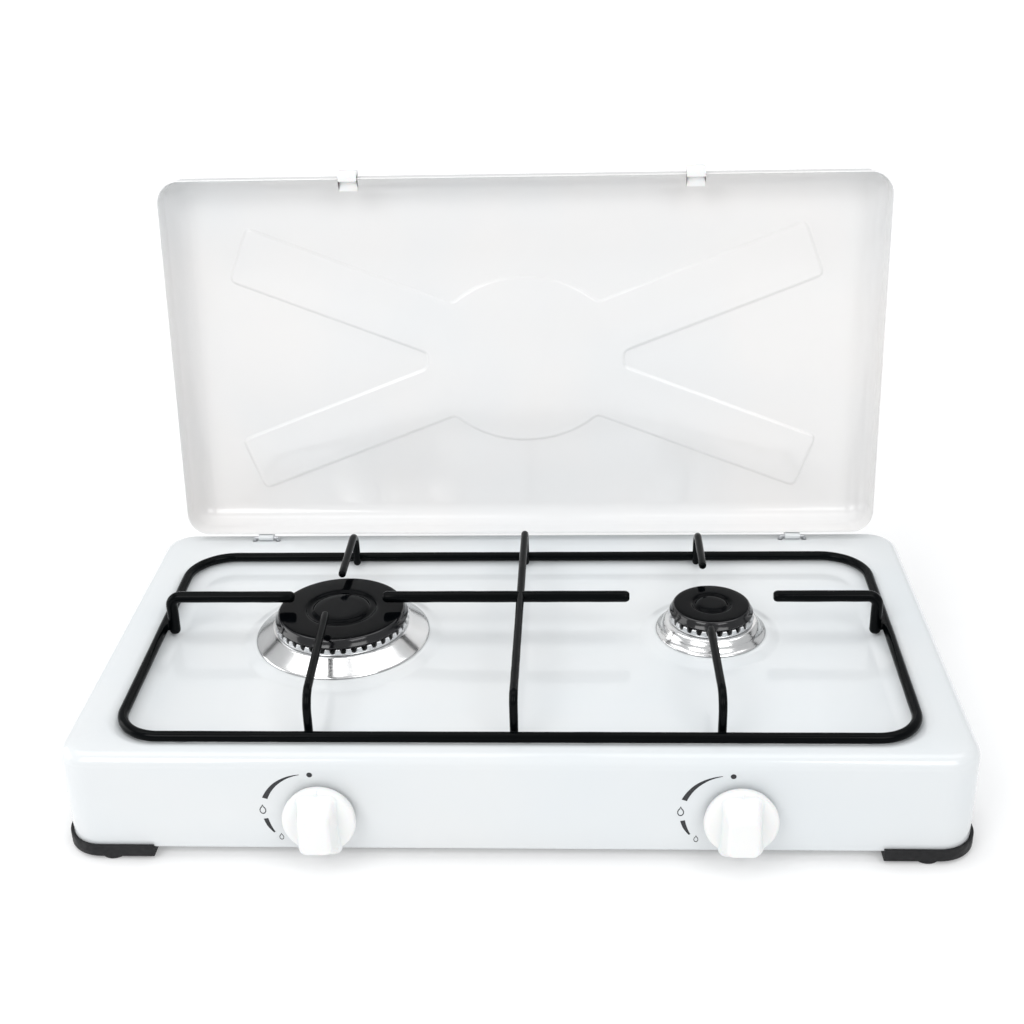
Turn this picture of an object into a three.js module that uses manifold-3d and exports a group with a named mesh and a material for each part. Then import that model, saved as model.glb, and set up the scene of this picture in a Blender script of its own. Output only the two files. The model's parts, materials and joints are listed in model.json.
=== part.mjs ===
// Two-burner tabletop gas stove with a folding lid, shown open.
// Millimetres, +X to the right, +Y to the back, +Z up. The stove stands on z = 0.
import * as THREE from "three";
import { mergeVertices } from "three/addons/utils/BufferGeometryUtils.js";
import Module from "manifold-3d";

const wasm = await Module();
wasm.setup();

// ---------- driving dimensions ----------

const gap = 0.3; // clearance between neighbouring pieces
const play = 0.1; // clearance of a turning or sliding fit

// casing
const width = 500;
const depth = 268;
const rimTop = 67;
const casingBottom = 7;
const casingCorner = 20;
const casingEdge = 8; // radius between the rim and the sides
const sheet = 1;
const hemWidth = 8;

// well in the hob
const wellDrop = 7;
const wellRun = 18;
const wellMarginToRail = 7; // from the rail's centre line out to the well's edge

// feet
const footArm = 50;
const footHeight = 7.4;
const footSkin = 2;
const footUnder = 4.8; // underside of the strip below the casing's lower edge
const footShelf = 14;
const padRadius = 7.5;
const padInset = 26;

// pan support
const railRadius = 3;
const barRadius = 3.5; // cross bars and side fingers
const thinRadius = 2.4; // centre bar, front and rear fingers
const railMarginSide = 28.2; // from the casing's side to the rail's centre line
const railMarginFront = 19.2;
const railMarginRear = 39;
const railCornerFront = 25;
const railCornerRear = 28;
const panAboveRim = 25; // level on which the pans stand
const rodBend = 6;
const legDrop = 2.8; // thin legs end this far below the rail's centre line

// burners
const burnerBack = 13.4; // large burner behind the middle of the pan support
const capAboveRim = 14.1;
const capThickness = 5.4;
const capFlare = 2; // how far the cap's side leans out
const capSpigot = 3;
const crownProud = 0.7; // crown beyond the cap's lower edge
const toothHeight = 2.8;
const crownBase = 1.6;
const skirtThickness = 1;
const dishRise = 2.5;
const dishSlope = 8;
const cupWall = 2;
const cupDepth = 28;
const cupFlangeThickness = 2;
const tubeRadius = 8;
const tubeWall = 1;
const tubeLead = 8; // straight run at each end of a mixing tube
const large = {
  name: "left",
  side: -1,
  inset: 111.8, // from the side rail to the burner's axis
  back: 0, // behind the large burner
  cap: 38.4,
  groove: [18.6, 21.4],
  skirt: 53.2,
  cup: 32,
  dish: 62,
  teeth: 40,
  tapOffset: 5, // tap to the right of the burner
  fingerOffset: -2.8, // front and rear fingers to the right of the burner
  drift: -3, // the front finger's tip to the right of its leg
  frontTip: 22.5, // from the burner's axis to the tips of the rods about it
  rearTip: 25.5,
  sideTip: 28.5,
  crossTip: 26,
};
const small = {
  name: "right",
  side: 1,
  inset: 105.8,
  back: 4.8,
  cap: 23.2,
  groove: [9.6, 11.8],
  skirt: 33.5,
  cup: 18,
  dish: 43,
  teeth: 26,
  tapOffset: 5.5,
  fingerOffset: -3.2,
  drift: -1,
  frontTip: 44.3,
  rearTip: 30.7,
  sideTip: 36.5,
  crossTip: 50,
};

// taps and gas way
const tapRadius = 10.5;
const tapNeck = 8;
const tapBore = 5.3;
const plugSetback = 16.5; // from the front of the tap's body to its plug
const plugLength = 10.9;
const tapBack = 5; // tap's body behind its plug
const outletLength = 7;
const coverThickness = 1.5;
const bracketThickness = 1.2;
const bracketWidth = 34;
const bracketMargin = 4; // bracket beyond the axes of its screws
const tapScrewOffset = 13;
const stemRadius = 3;
const stemFlat = 2; // from the axis to the flat of the D
const stemPlay = 0.3;
const pushTravel = 2.5;
const injectorLength = 8;
const injectorRadius = 3.6;
const airGap = 5;
const manifoldRadius = 4;
const nozzleHex = 9; // corner radius of the nozzle's hexagon in the casing
const manifoldBend = 16;
const manifoldInset = 74; // from the casing's right side
const nozzleBarb = 5.5;
const nozzleLength = 24;

// knobs
const knobRadius = 20;
const knobRim = 3; // height of the skirt's cylindrical rim
const knobSkirt = 8;
const knobChamfer = 1.5;
const knobWall = 1.8;
const knobRecess = 5.5;
const knobClearance = 2.6; // skirt to front panel
const knobHub = 6;
const gripWidth = 20;
const gripReach = 14;
const gripRound = 4;

// lid, given in the closed position
const lidMarginSide = 16.5; // from the casing's side to the lid's
const lidMarginFront = 12.4;
const lidHeight = 28;
const lidCorner = 15;
const lidEdge = 14;
const lidSheet = 0.9;
const lidClear = 1.6; // lid edge above the rim
const lean = THREE.MathUtils.degToRad(6.5);
const hingeMarginRear = 13; // from the casing's rear to the hinge's axis
const hingeMarginSide = 70;
const hingeWire = 1.1;
const hingeHalf = 8; // half the spread of the hinge wire's legs
const tabWidth = 10;
const tabSheet = 0.8;
const heelHeight = 4.1; // heel of the tab above the hinge's axis, lid shut
const reliefDepth = 1.5;
const reliefOval = [66, 56];
const reliefArm = 18.5; // half the width of an arm
const reliefMarginSide = 44; // from the lid's side to the middle of an arm's end
const reliefMarginEnd = 47;
const reliefCentre = 0.48; // of the lid's depth, from its rear
const clipWidth = 12;
const clipMarginSide = 140;

// ---------- helpers ----------

const steel = (color, roughness, metalness = 0) =>
  new THREE.MeshStandardMaterial({ color, roughness, metalness, flatShading: true });
const enamelWhite = steel(0xf2f3f4, 0.25);
const enamelBlack = steel(0x0c0c0e, 0.2);
const rubber = steel(0x17171a, 0.8);
const aluminium = steel(0xc4c6c9, 0.35, 1);
const polished = steel(0xe2e3e5, 0.12, 1);
const brass = steel(0xb99b55, 0.3, 1);
const zinc = steel(0xa9adb2, 0.35, 1);
const plastic = steel(0xf4f4f2, 0.4);

// A closed geometry as a solid, whichever way its faces were wound.
function solid(geometry) {
  const bare = new THREE.BufferGeometry();
  const flat = geometry.index ? geometry.toNonIndexed() : geometry;
  bare.setAttribute("position", flat.getAttribute("position").clone());
  const merged = mergeVertices(bare, 1e-4);
  const index = [...merged.index.array];
  const faces = [];
  const corner = [new THREE.Vector3(), new THREE.Vector3(), new THREE.Vector3()];
  let volume = 0;
  for (let i = 0; i < index.length; i += 3) {
    const face = index.slice(i, i + 3);
    if (new Set(face).size < 3) continue;
    faces.push(face);
    face.forEach((v, n) => corner[n].fromBufferAttribute(merged.attributes.position, v));
    volume += corner[0].dot(corner[1].cross(corner[2]));
  }
  const triVerts = faces.map((f) => (volume < 0 ? [f[0], f[2], f[1]] : f)).flat();
  return new wasm.Manifold(
    new wasm.Mesh({
      numProp: 3,
      vertProperties: merged.attributes.position.array,
      triVerts: new Uint32Array(triVerts),
    }),
  );
}

function geometryOf(made) {
  const mesh = made.getMesh();
  const geometry = new THREE.BufferGeometry();
  geometry.setAttribute("position", new THREE.BufferAttribute(mesh.vertProperties, 3));
  geometry.setIndex(new THREE.BufferAttribute(mesh.triVerts, 1));
  geometry.computeVertexNormals();
  return geometry;
}

const join = (first, ...rest) => rest.reduce((sum, one) => sum.add(one), first);
const cut = (first, ...rest) => rest.reduce((left, one) => left.subtract(one), first);

function piece(name, made, material) {
  const mesh = new THREE.Mesh(geometryOf(made), material);
  mesh.name = name;
  return mesh;
}

// A box between two corners.
function block([x0, y0, z0], [x1, y1, z1]) {
  const box = new THREE.BoxGeometry(x1 - x0, y1 - y0, z1 - z0);
  return solid(box.translate((x0 + x1) / 2, (y0 + y1) / 2, (z0 + z1) / 2));
}

// A cylinder or cone frustum along +Y, from y0 to y1.
function rodY(x, z, y0, y1, r0, r1 = r0, sides = 20) {
  const rod = new THREE.CylinderGeometry(r1, r0, y1 - y0, sides);
  return solid(rod.translate(x, (y0 + y1) / 2, z));
}

// The same along +Z.
function rodZ(x, y, z0, z1, r0, r1 = r0, sides = 20) {
  const rod = new THREE.CylinderGeometry(r1, r0, z1 - z0, sides);
  return solid(rod.rotateX(Math.PI / 2).translate(x, y, (z0 + z1) / 2));
}

// A turned piece: [radius, height] pairs that start and end on the axis or close on themselves.
function turned(x, y, pairs, sides) {
  const profile = pairs.map(([r, z]) => new THREE.Vector2(r, z));
  return solid(new THREE.LatheGeometry(profile, sides).rotateX(Math.PI / 2).translate(x, y, 0));
}

function closedTurned(x, y, pairs, sides) {
  return turned(x, y, [...pairs, pairs[0]], sides);
}

// A rectangle between two corners, with a radius at its front and at its rear corners.
function roundedPlan(x0, y0, x1, y1, front, rear = front) {
  const plan = new THREE.Shape();
  plan.moveTo(x0 + front, y0);
  plan.lineTo(x1 - front, y0);
  plan.absarc(x1 - front, y0 + front, front, -Math.PI / 2, 0);
  plan.lineTo(x1, y1 - rear);
  plan.absarc(x1 - rear, y1 - rear, rear, 0, Math.PI / 2);
  plan.lineTo(x0 + rear, y1);
  plan.absarc(x0 + rear, y1 - rear, rear, Math.PI / 2, Math.PI);
  plan.lineTo(x0, y0 + front);
  plan.absarc(x0 + front, y0 + front, front, Math.PI, 1.5 * Math.PI);
  return plan;
}

// A plan outline raised from z0 to z1.
function raised(plan, z0, z1, curveSegments = 6) {
  const options = { depth: z1 - z0, bevelEnabled: false, curveSegments };
  return solid(new THREE.ExtrudeGeometry(plan, options).translate(0, 0, z0));
}

// A rectangular tray pressed upside down: straight sides and a rounded top edge.
function domedBlock(x0, y0, x1, y1, z0, z1, corner, round) {
  const edge = Math.min(round, corner - 0.5);
  const plan = roundedPlan(x0 + edge, y0 + edge, x1 - edge, y1 - edge, corner - edge);
  const options = {
    depth: z1 - z0,
    bevelThickness: edge,
    bevelSize: edge,
    bevelSegments: 4,
    curveSegments: 6,
  };
  const whole = solid(new THREE.ExtrudeGeometry(plan, options).translate(0, 0, z0 - edge));
  return whole.subtract(block([x0 - 1, y0 - 1, z0 - 2 * edge - 1], [x1 + 1, y1 + 1, z0]));
}

// The space of a sunken tray: its floor at z0, widening by run up to z1 and straight above.
function sunkenBlock(x0, y0, x1, y1, z0, z1, run, front, rear) {
  const floor = roundedPlan(x0 + run, y0 + run, x1 - run, y1 - run, front - run, rear - run);
  const options = {
    depth: 20,
    bevelThickness: z1 - z0,
    bevelSize: run,
    bevelSegments: 1,
    curveSegments: 6,
  };
  return solid(new THREE.ExtrudeGeometry(floor, options).translate(0, 0, z1));
}

// A wire's centre line: straight runs with rounded corners, as evenly numbered stations.
class WirePath extends THREE.Curve {
  constructor(points, bends, bendSteps = 4) {
    super();
    this.stations = [points[0]];
    for (let i = 1; i < points.length - 1; i++) {
      const bend = bends[i];
      const [before, at, after] = [points[i - 1], points[i], points[i + 1]];
      const back = before.clone().sub(at).normalize();
      const on = after.clone().sub(at).normalize();
      const half = back.angleTo(on) / 2;
      const reach = bend / Math.tan(half);
      const centre = back.clone().add(on).normalize().multiplyScalar(bend / Math.sin(half)).add(at);
      const start = at.clone().addScaledVector(back, reach).sub(centre);
      const end = at.clone().addScaledVector(on, reach).sub(centre);
      const turn = start.angleTo(end);
      for (let s = 0; s <= bendSteps; s++) {
        const t = s / bendSteps;
        const a = Math.sin((1 - t) * turn) / Math.sin(turn);
        const b = Math.sin(t * turn) / Math.sin(turn);
        const place = start.clone().multiplyScalar(a).addScaledVector(end, b).add(centre);
        this.stations.push(place);
      }
    }
    this.stations.push(points[points.length - 1]);
  }
  get steps() {
    return this.stations.length - 1;
  }
  getUtoTmapping(u) {
    return u;
  }
  getPoint(t, target = new THREE.Vector3()) {
    const along = Math.min(t * this.steps, this.steps);
    const i = Math.min(Math.floor(along), this.steps - 1);
    return target.copy(this.stations[i]).lerp(this.stations[i + 1], along - i);
  }
  getTangent(t, target = new THREE.Vector3()) {
    const i = Math.round(t * this.steps);
    const way = (a, b) => this.stations[b].clone().sub(this.stations[a]).normalize();
    target.set(0, 0, 0);
    if (i > 0) target.add(way(i - 1, i));
    if (i < this.steps) target.add(way(i, i + 1));
    return target.normalize();
  }
}

function roundSection(radius, sides) {
  const section = new THREE.Shape();
  for (let i = 0; i < sides; i++) {
    const angle = ((i + 0.5) * 2 * Math.PI) / sides;
    const [u, v] = [radius * Math.cos(angle), radius * Math.sin(angle)];
    if (i === 0) section.moveTo(u, v);
    else section.lineTo(u, v);
  }
  return section;
}

function along(path, radius, sides = 10) {
  const options = { steps: path.steps, extrudePath: path };
  return solid(new THREE.ExtrudeGeometry(roundSection(radius, sides), options));
}

function wire(points, radius, bend, sides = 10) {
  const path = new WirePath(points.map((p) => new THREE.Vector3(...p)), points.map(() => bend));
  return along(path, radius, sides);
}

// ---------- derived places ----------

const footFloor = casingBottom - footUnder;
const panHeight = rimTop + panAboveRim;
const capTop = rimTop + capAboveRim;
// the nozzle clears the hem, and the taps stand on the manifold that feeds it
const manifoldZ = casingBottom + sheet + 2 * play + nozzleHex;
const tapZ = manifoldZ + manifoldRadius + gap + tapRadius;
const halfWidth = width / 2;
const front = -depth / 2;
const rear = depth / 2;
const railHalfWidth = halfWidth - railMarginSide;
const railFront = front + railMarginFront;
const railRear = rear - railMarginRear;
const wellSlope = Math.atan2(wellDrop, wellRun);
// the rail lies along the well's sloping side
const railSeat = rimTop - wellMarginToRail * Math.tan(wellSlope);
const railZ = railSeat + (railRadius + gap) / Math.cos(wellSlope);
const crossY = (railFront + railRear) / 2 + burnerBack;
for (const b of [large, small]) {
  b.x = b.side * (railHalfWidth - b.inset);
  b.y = crossY + b.back;
  b.tapX = b.x + b.tapOffset;
}
const floorZ = rimTop - wellDrop;
const dishZ = floorZ + dishRise;
const well = {
  x: railHalfWidth + wellMarginToRail,
  front: railFront - wellMarginToRail,
  rear: railRear + wellMarginToRail,
  cornerFront: railCornerFront + wellMarginToRail,
  cornerRear: railCornerRear + wellMarginToRail,
};
const capBottom = capTop - capThickness;
const crownTop = capBottom - gap;
const crownBottom = crownTop - toothHeight - crownBase;
const cupFlange = 9; // width of the cup's flange under the hob
const screwAcross = 4.5; // from the cup's wall out to its screws
const burnerScrew = { head: 2.8, shank: 1.5, hole: 1.9, headHeight: 1.8 };
const tapScrew = { head: 2.8, shank: 1.5, hole: 1.9, headHeight: 1.6 };
const hingeHole = hingeWire + 0.9;
const knobHole = stemRadius + 2;
const hoseHole = 6.5;
const tapFront = front + sheet + gap + bracketThickness + gap + coverThickness + gap;
const knobRear = front - knobClearance;
const knobFace = knobRear - knobSkirt;
const plugFront = tapFront + plugSetback;
const plugRear = plugFront + plugLength;
const tapRear = plugRear + tapBack;
const outletRear = tapRear + outletLength;
const manifoldX = halfWidth - manifoldInset;
const knuckle = hingeWire + play + tabSheet; // outer radius of the tab's curl
const hingeY = rear - hingeMarginRear;
const hingeZ = rimTop + gap + knuckle;
const hingeX = halfWidth - hingeMarginSide;
const lidRear = hingeY - knuckle - 2 * gap;
const lidBottom = rimTop + lidClear;
const lidWidth = width - 2 * lidMarginSide;
const lidDepth = lidRear - front - lidMarginFront;
const clipX = halfWidth - clipMarginSide;

// ---------- casing ----------

function casing() {
  const shape = (inset, drop) => {
    const box = domedBlock(
      -halfWidth + inset,
      front + inset,
      halfWidth - inset,
      rear - inset,
      casingBottom - (inset ? 5 : 0),
      rimTop - drop,
      casingCorner - inset,
      casingEdge - inset,
    );
    const tray = sunkenBlock(
      -well.x - 0.7 * inset,
      well.front - 0.7 * inset,
      well.x + 0.7 * inset,
      well.rear + 0.7 * inset,
      floorZ - drop,
      rimTop - drop,
      wellRun,
      well.cornerFront + 0.7 * inset,
      well.cornerRear + 0.7 * inset,
    );
    const dishes = [large, small].map((b) =>
      rodZ(b.x, b.y, floorZ - drop - 0.01, dishZ - drop, b.dish, b.dish - dishSlope, 36),
    );
    return join(box.subtract(tray), ...dishes);
  };
  const hemPlan = roundedPlan(-halfWidth, front, halfWidth, rear, casingCorner);
  const hemHole = roundedPlan(
    -halfWidth + hemWidth,
    front + hemWidth,
    halfWidth - hemWidth,
    rear - hemWidth,
    casingCorner - hemWidth,
  );
  const hem = raised(hemPlan, casingBottom, casingBottom + sheet).subtract(
    raised(hemHole, casingBottom - 1, casingBottom + sheet + 1),
  );
  const holes = [];
  for (const b of [large, small]) {
    holes.push(rodZ(b.x, b.y, floorZ - 5, dishZ + 5, b.cup + 2 * gap, b.cup + 2 * gap, 32));
    holes.push(rodY(b.tapX, tapZ, front - 5, front + 5, knobHole));
    for (const side of [-1, 1]) {
      const x = b.x + side * (b.cup + screwAcross);
      holes.push(rodZ(x, b.y, floorZ - 5, dishZ + 5, burnerScrew.hole, burnerScrew.hole, 10));
      const z = tapZ + side * tapScrewOffset;
      holes.push(rodY(b.tapX, z, front - 5, front + 5, tapScrew.hole, tapScrew.hole, 10));
    }
  }
  for (const x of [-hingeX, hingeX]) {
    for (const side of [-hingeHalf, hingeHalf]) {
      holes.push(rodZ(x + side, hingeY, rimTop - 8, rimTop + 5, hingeHole, hingeHole, 10));
    }
  }
  holes.push(rodY(manifoldX, manifoldZ, rear - 5, rear + 5, hoseHole));
  return cut(join(shape(0, 0).subtract(shape(sheet, sheet)), hem), ...holes);
}

// ---------- feet ----------

function cornerFoot(sideX, sideY) {
  const plan = (grow) => {
    const arc = casingCorner + grow;
    return roundedPlan(-halfWidth - grow, front - grow, halfWidth + grow, rear + grow, arc);
  };
  const corner = [sideX * (halfWidth + footSkin), sideY * (depth / 2 + footSkin)];
  const inner = [sideX * (halfWidth - footArm), sideY * (depth / 2 - footArm)];
  const low = [Math.min(corner[0], inner[0]), Math.min(corner[1], inner[1]), -1];
  const high = [Math.max(corner[0], inner[0]), Math.max(corner[1], inner[1]), 99];
  const strip = raised(plan(footSkin), footFloor, footFloor + footHeight).subtract(
    raised(plan(-footShelf), footFloor - 1, footFloor + footHeight + 1),
  );
  const seat = raised(plan(gap), casingBottom - gap, casingBottom + footHeight);
  const padX = sideX * (halfWidth - padInset);
  const padY = sideY * (depth / 2 + footSkin - padRadius);
  const pad = rodZ(padX, padY, 0, footFloor + 1, padRadius - 1, padRadius, 18);
  return join(strip.subtract(seat).intersect(block(low, high)), pad);
}

// ---------- pan support ----------

function supportFrame() {
  const x = railHalfWidth;
  const corners = [
    [x, 0],
    [x, railRear],
    [-x, railRear],
    [-x, railFront],
    [x, railFront],
    [x, 0],
  ];
  const bends = [0, railCornerRear, railCornerRear, railCornerFront, railCornerFront];
  const loop = new WirePath(corners.map(([px, py]) => new THREE.Vector3(px, py, railZ)), bends);
  return solid(new THREE.TubeGeometry(loop, loop.steps, railRadius, 10, true));
}

const thinZ = panHeight - thinRadius;
const barZ = panHeight - barRadius;
const legFoot = railZ - legDrop;
const frontLegY = railFront + railRadius + thinRadius + gap;
const rearLegY = railRear - railRadius - thinRadius - gap;
const sideLegX = railHalfWidth - railRadius - barRadius - gap;
const sideLegFoot = railSeat - (railRadius + gap) * Math.tan(wellSlope) + 2 * gap;

// A thin finger from its leg at a long rail to its free tip over the burner.
function thinFinger(x, legY, tipX, tipY) {
  return wire([[x, legY, legFoot], [x, legY, thinZ], [tipX, tipY, thinZ]], thinRadius, rodBend);
}

function centreBar() {
  const run = [
    [0, frontLegY, legFoot],
    [0, frontLegY, thinZ],
    [0, rearLegY, thinZ],
    [0, rearLegY, legFoot],
  ];
  return wire(run, thinRadius, rodBend);
}

// Half of the bar across the middle, from the centre bar to its free tip at a burner.
function crossBar(b) {
  const inner = b.side * (thinRadius + gap);
  const tip = b.x - b.side * b.crossTip;
  return wire([[inner, crossY, barZ], [tip, crossY, barZ]], barRadius, rodBend);
}

function sideFinger(b) {
  const leg = b.side * sideLegX;
  const tip = b.x + b.side * b.sideTip;
  const run = [[leg, crossY, sideLegFoot], [leg, crossY, barZ], [tip, crossY, barZ]];
  return wire(run, barRadius, rodBend);
}

function panSupport() {
  const group = new THREE.Group();
  const add = (name, made) => group.add(piece(name, made, enamelBlack));
  add("support_frame", supportFrame());
  add("support_centre_bar", centreBar());
  for (const b of [large, small]) {
    const x = b.x + b.fingerOffset;
    add("support_cross_bar_" + b.name, crossBar(b));
    add("support_side_finger_" + b.name, sideFinger(b));
    add("support_front_finger_" + b.name, thinFinger(x, frontLegY, x + b.drift, b.y - b.frontTip));
    add("support_rear_finger_" + b.name, thinFinger(x, rearLegY, x, b.y + b.rearTip));
  }
  return group;
}

// ---------- burners ----------

const crownWall = 2.5;
const crownBore = (b) => b.cup - cupWall - gap - crownWall;
const crownRadius = (b) => b.cap + capFlare + crownProud;

// The cap lies on the teeth, with a spigot in the crown's bore.
function burnerCap(b) {
  const r = b.cap;
  const [g0, g1] = b.groove;
  const spigot = crownBore(b) - 2 * gap;
  return turned(
    b.x,
    b.y,
    [
      [0, capBottom],
      [spigot - 1.5, capBottom],
      [spigot - 1.5, capBottom - capSpigot],
      [spigot, capBottom - capSpigot],
      [spigot, capBottom],
      [r + capFlare - 0.6, capBottom],
      [r + capFlare, capBottom + 0.6],
      [r + 0.3, capTop - 0.8],
      [r - 0.8, capTop],
      [g1, capTop],
      [g1 - 0.6, capTop - 1],
      [g0 + 0.6, capTop - 1],
      [g0, capTop + 0.4],
      [0, capTop + 0.4],
    ],
    40,
  );
}

// The crown: a ring whose upper part is cut into teeth, with a hub that drops into the cup.
function burnerCrown(b) {
  const bore = crownBore(b);
  const hub = bore + crownWall;
  const ring = closedTurned(
    b.x,
    b.y,
    [
      [bore, crownBottom - 6],
      [hub, crownBottom - 6],
      [hub, crownBottom],
      [crownRadius(b) - 1.2, crownBottom],
      [crownRadius(b), crownBottom + 1.2],
      [crownRadius(b), crownTop - toothHeight],
      [bore, crownTop - toothHeight],
    ],
    b.teeth,
  );
  const comb = new THREE.Shape();
  const pitch = (2 * Math.PI) / b.teeth;
  const [tip, root] = [crownRadius(b) - 0.1, b.cap - 4];
  for (let i = 0; i < b.teeth; i++) {
    const corners = [[root, 0.5], [root, 0.28], [tip, 0.22], [tip, -0.22], [root, -0.28]];
    corners.slice(1).forEach(([r, share], n) => {
      const angle = (i - share) * pitch;
      const [u, v] = [r * Math.cos(angle), r * Math.sin(angle)];
      if (i === 0 && n === 0) comb.moveTo(u, v);
      else comb.lineTo(u, v);
    });
  }
  const opening = new THREE.Path();
  opening.absarc(0, 0, bore, 0, 2 * Math.PI, true);
  comb.holes.push(opening);
  const options = { depth: toothHeight + 0.5, bevelEnabled: false, curveSegments: b.teeth / 2 };
  const teeth = new THREE.ExtrudeGeometry(comb, options);
  return ring.add(solid(teeth.translate(b.x, b.y, crownTop - toothHeight - 0.5)));
}

// The polished cone between the hob and the crown.
function burnerSkirt(b) {
  const low = dishZ + gap;
  const high = crownBottom - gap;
  const top = crownRadius(b) + 0.9;
  const t = skirtThickness;
  return closedTurned(
    b.x,
    b.y,
    [
      [b.skirt - 1.5 * t, low],
      [b.skirt, low],
      [b.skirt, low + 0.5],
      [top, high],
      [b.cup + 1, high],
      [b.cup + 1, high - t],
      [top - 0.7 * t, high - t],
    ],
    36,
  );
}

function burnerCup(b) {
  const under = floorZ - sheet + dishRise - gap;
  const top = crownBottom - 2 * gap - skirtThickness;
  const bottom = under - cupDepth;
  const body = turned(
    b.x,
    b.y,
    [
      [0, bottom],
      [b.cup - 3, bottom],
      [b.cup, bottom + 3],
      [b.cup, under - cupFlangeThickness],
      [b.cup + cupFlange, under - cupFlangeThickness],
      [b.cup + cupFlange, under],
      [b.cup, under],
      [b.cup, top],
      [b.cup - cupWall, top],
      [b.cup - cupWall, bottom + 3.5],
      [b.cup - cupWall - 2, bottom + cupWall],
      [0, bottom + cupWall],
    ],
    32,
  );
  const holes = [-1, 1].map((side) => {
    const x = b.x + side * (b.cup + screwAcross);
    return rodZ(x, b.y, under - 4, under + 1, burnerScrew.hole, burnerScrew.hole, 10);
  });
  const inlet = rodY(b.tapX, cupInletZ, b.y - b.cup - 5, b.y - b.cup / 2, tubeRadius - tubeWall);
  return cut(body, inlet, ...holes);
}

const cupInletZ = floorZ - sheet + dishRise - gap - cupDepth / 2 - 2;

function burnerScrewAt(x, y) {
  const seat = dishZ + gap;
  const s = burnerScrew;
  const tail = floorZ - sheet + dishRise - gap - cupFlangeThickness - 4;
  return join(
    rodZ(x, y, tail, seat + 0.5, s.shank, s.shank, 8),
    rodZ(x, y, seat, seat + s.headHeight, s.head, s.head - 0.6, 12),
  );
}

// The mixing tube: a bell mouth behind the injector, rising to the side of the cup.
function mixingTube(b) {
  const start = outletRear + injectorLength + airGap;
  const mouth = start + 10;
  const reach = b.cup * Math.cos(Math.asin((b.tapX - b.x) / b.cup));
  const end = b.y - reach - 2 * gap - 1.5;
  const lead = Math.min(tubeLead, (end - mouth) / 4);
  const run = [
    [b.tapX, mouth - 0.5, tapZ],
    [b.tapX, mouth + lead, tapZ],
    [b.tapX, end - lead, cupInletZ],
    [b.tapX, end, cupInletZ],
  ];
  const outer = wire(run, tubeRadius, 6, 12);
  const longer = run.map((p) => [...p]);
  longer[0][1] -= 3;
  longer[3][1] += 3;
  const bore = wire(longer, tubeRadius - tubeWall, 6, 12);
  const bell = rodY(b.tapX, tapZ, start, mouth, tubeRadius + 2.5, tubeRadius);
  const bellBore = rodY(b.tapX, tapZ, start - 0.01, mouth, tubeRadius + 1.5, tubeRadius - tubeWall);
  return cut(join(outer, bell), bore, bellBore);
}

function burnerParts(b) {
  const group = new THREE.Group();
  group.add(piece("burner_cup_" + b.name, burnerCup(b), aluminium));
  group.add(piece("burner_skirt_" + b.name, burnerSkirt(b), polished));
  group.add(piece("burner_crown_" + b.name, burnerCrown(b), aluminium));
  group.add(piece("burner_cap_" + b.name, burnerCap(b), enamelBlack));
  group.add(piece("mixing_tube_" + b.name, mixingTube(b), zinc));
  [-1, 1].forEach((side, i) => {
    const made = burnerScrewAt(b.x + side * (b.cup + screwAcross), b.y);
    group.add(piece("burner_screw_" + b.name + "_" + (i + 1), made, zinc));
  });
  return group;
}

// ---------- taps, gas way and knobs ----------

const boreRear = plugRear + gap;
const bladeTip = plugFront + 2;
const collar = [tapFront + gap, tapFront + 2.6];

function tapBody(b) {
  const x = b.tapX;
  const shell = join(
    rodY(x, tapZ, tapFront, tapFront + 10, tapNeck),
    rodY(x, tapZ, tapFront + 9, tapRear, tapRadius, tapRadius, 8),
    rodY(x, tapZ, tapRear - 1, outletRear, tapNeck - 2.5),
  );
  const bore = rodY(x, tapZ, tapFront - 1, boreRear, tapBore);
  const outlet = rodY(x, tapZ, boreRear - 1, outletRear + 1, 1.5, 1.5, 10);
  return cut(shell, bore, outlet);
}

function tapCover(b) {
  const y1 = tapFront - gap;
  const plate = rodY(b.tapX, tapZ, y1 - coverThickness, y1, tapNeck);
  const hole = stemRadius + play;
  return plate.subtract(rodY(b.tapX, tapZ, y1 - 5, y1 + 1, hole));
}

function tapBracket(b) {
  const y0 = front + sheet + gap;
  const y1 = y0 + bracketThickness;
  const [x, w, h] = [b.tapX, bracketWidth / 2, tapScrewOffset + bracketMargin];
  const plate = block([x - w, y0, tapZ - h], [x + w, y1, tapZ + h]);
  const lipDepth = 14;
  const lip = block([x - w, y0, tapZ - h], [x + w, y0 + lipDepth, tapZ - h + bracketThickness]);
  const holes = [rodY(x, tapZ, y0 - 1, y1 + 1, knobHole)];
  for (const side of [-1, 1]) {
    const z = tapZ + side * tapScrewOffset;
    holes.push(rodY(x, z, y0 - 1, y1 + 1, tapScrew.hole, tapScrew.hole, 10));
  }
  return cut(join(plate, lip), ...holes);
}

function tapScrewAt(x, z) {
  const s = tapScrew;
  const face = front - gap;
  const tail = front + sheet + gap + bracketThickness + 3;
  return join(
    rodY(x, z, face - 0.5, tail, s.shank, s.shank, 8),
    rodY(x, z, face - s.headHeight, face, s.head - 0.6, s.head, 12),
  );
}

// The turning plug: a slightly tapered core with a slot for the stem's blade.
function tapPlug(b) {
  const x = b.tapX;
  const r = tapBore - play;
  const core = rodY(x, tapZ, plugFront, plugRear, r, r - 0.6);
  const slotDepth = 2 + pushTravel + 1;
  const slot = block([x - 1.1, plugFront - 1, tapZ - 6], [x + 1.1, plugFront + slotDepth, tapZ + 6]);
  return core.subtract(slot);
}

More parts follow.
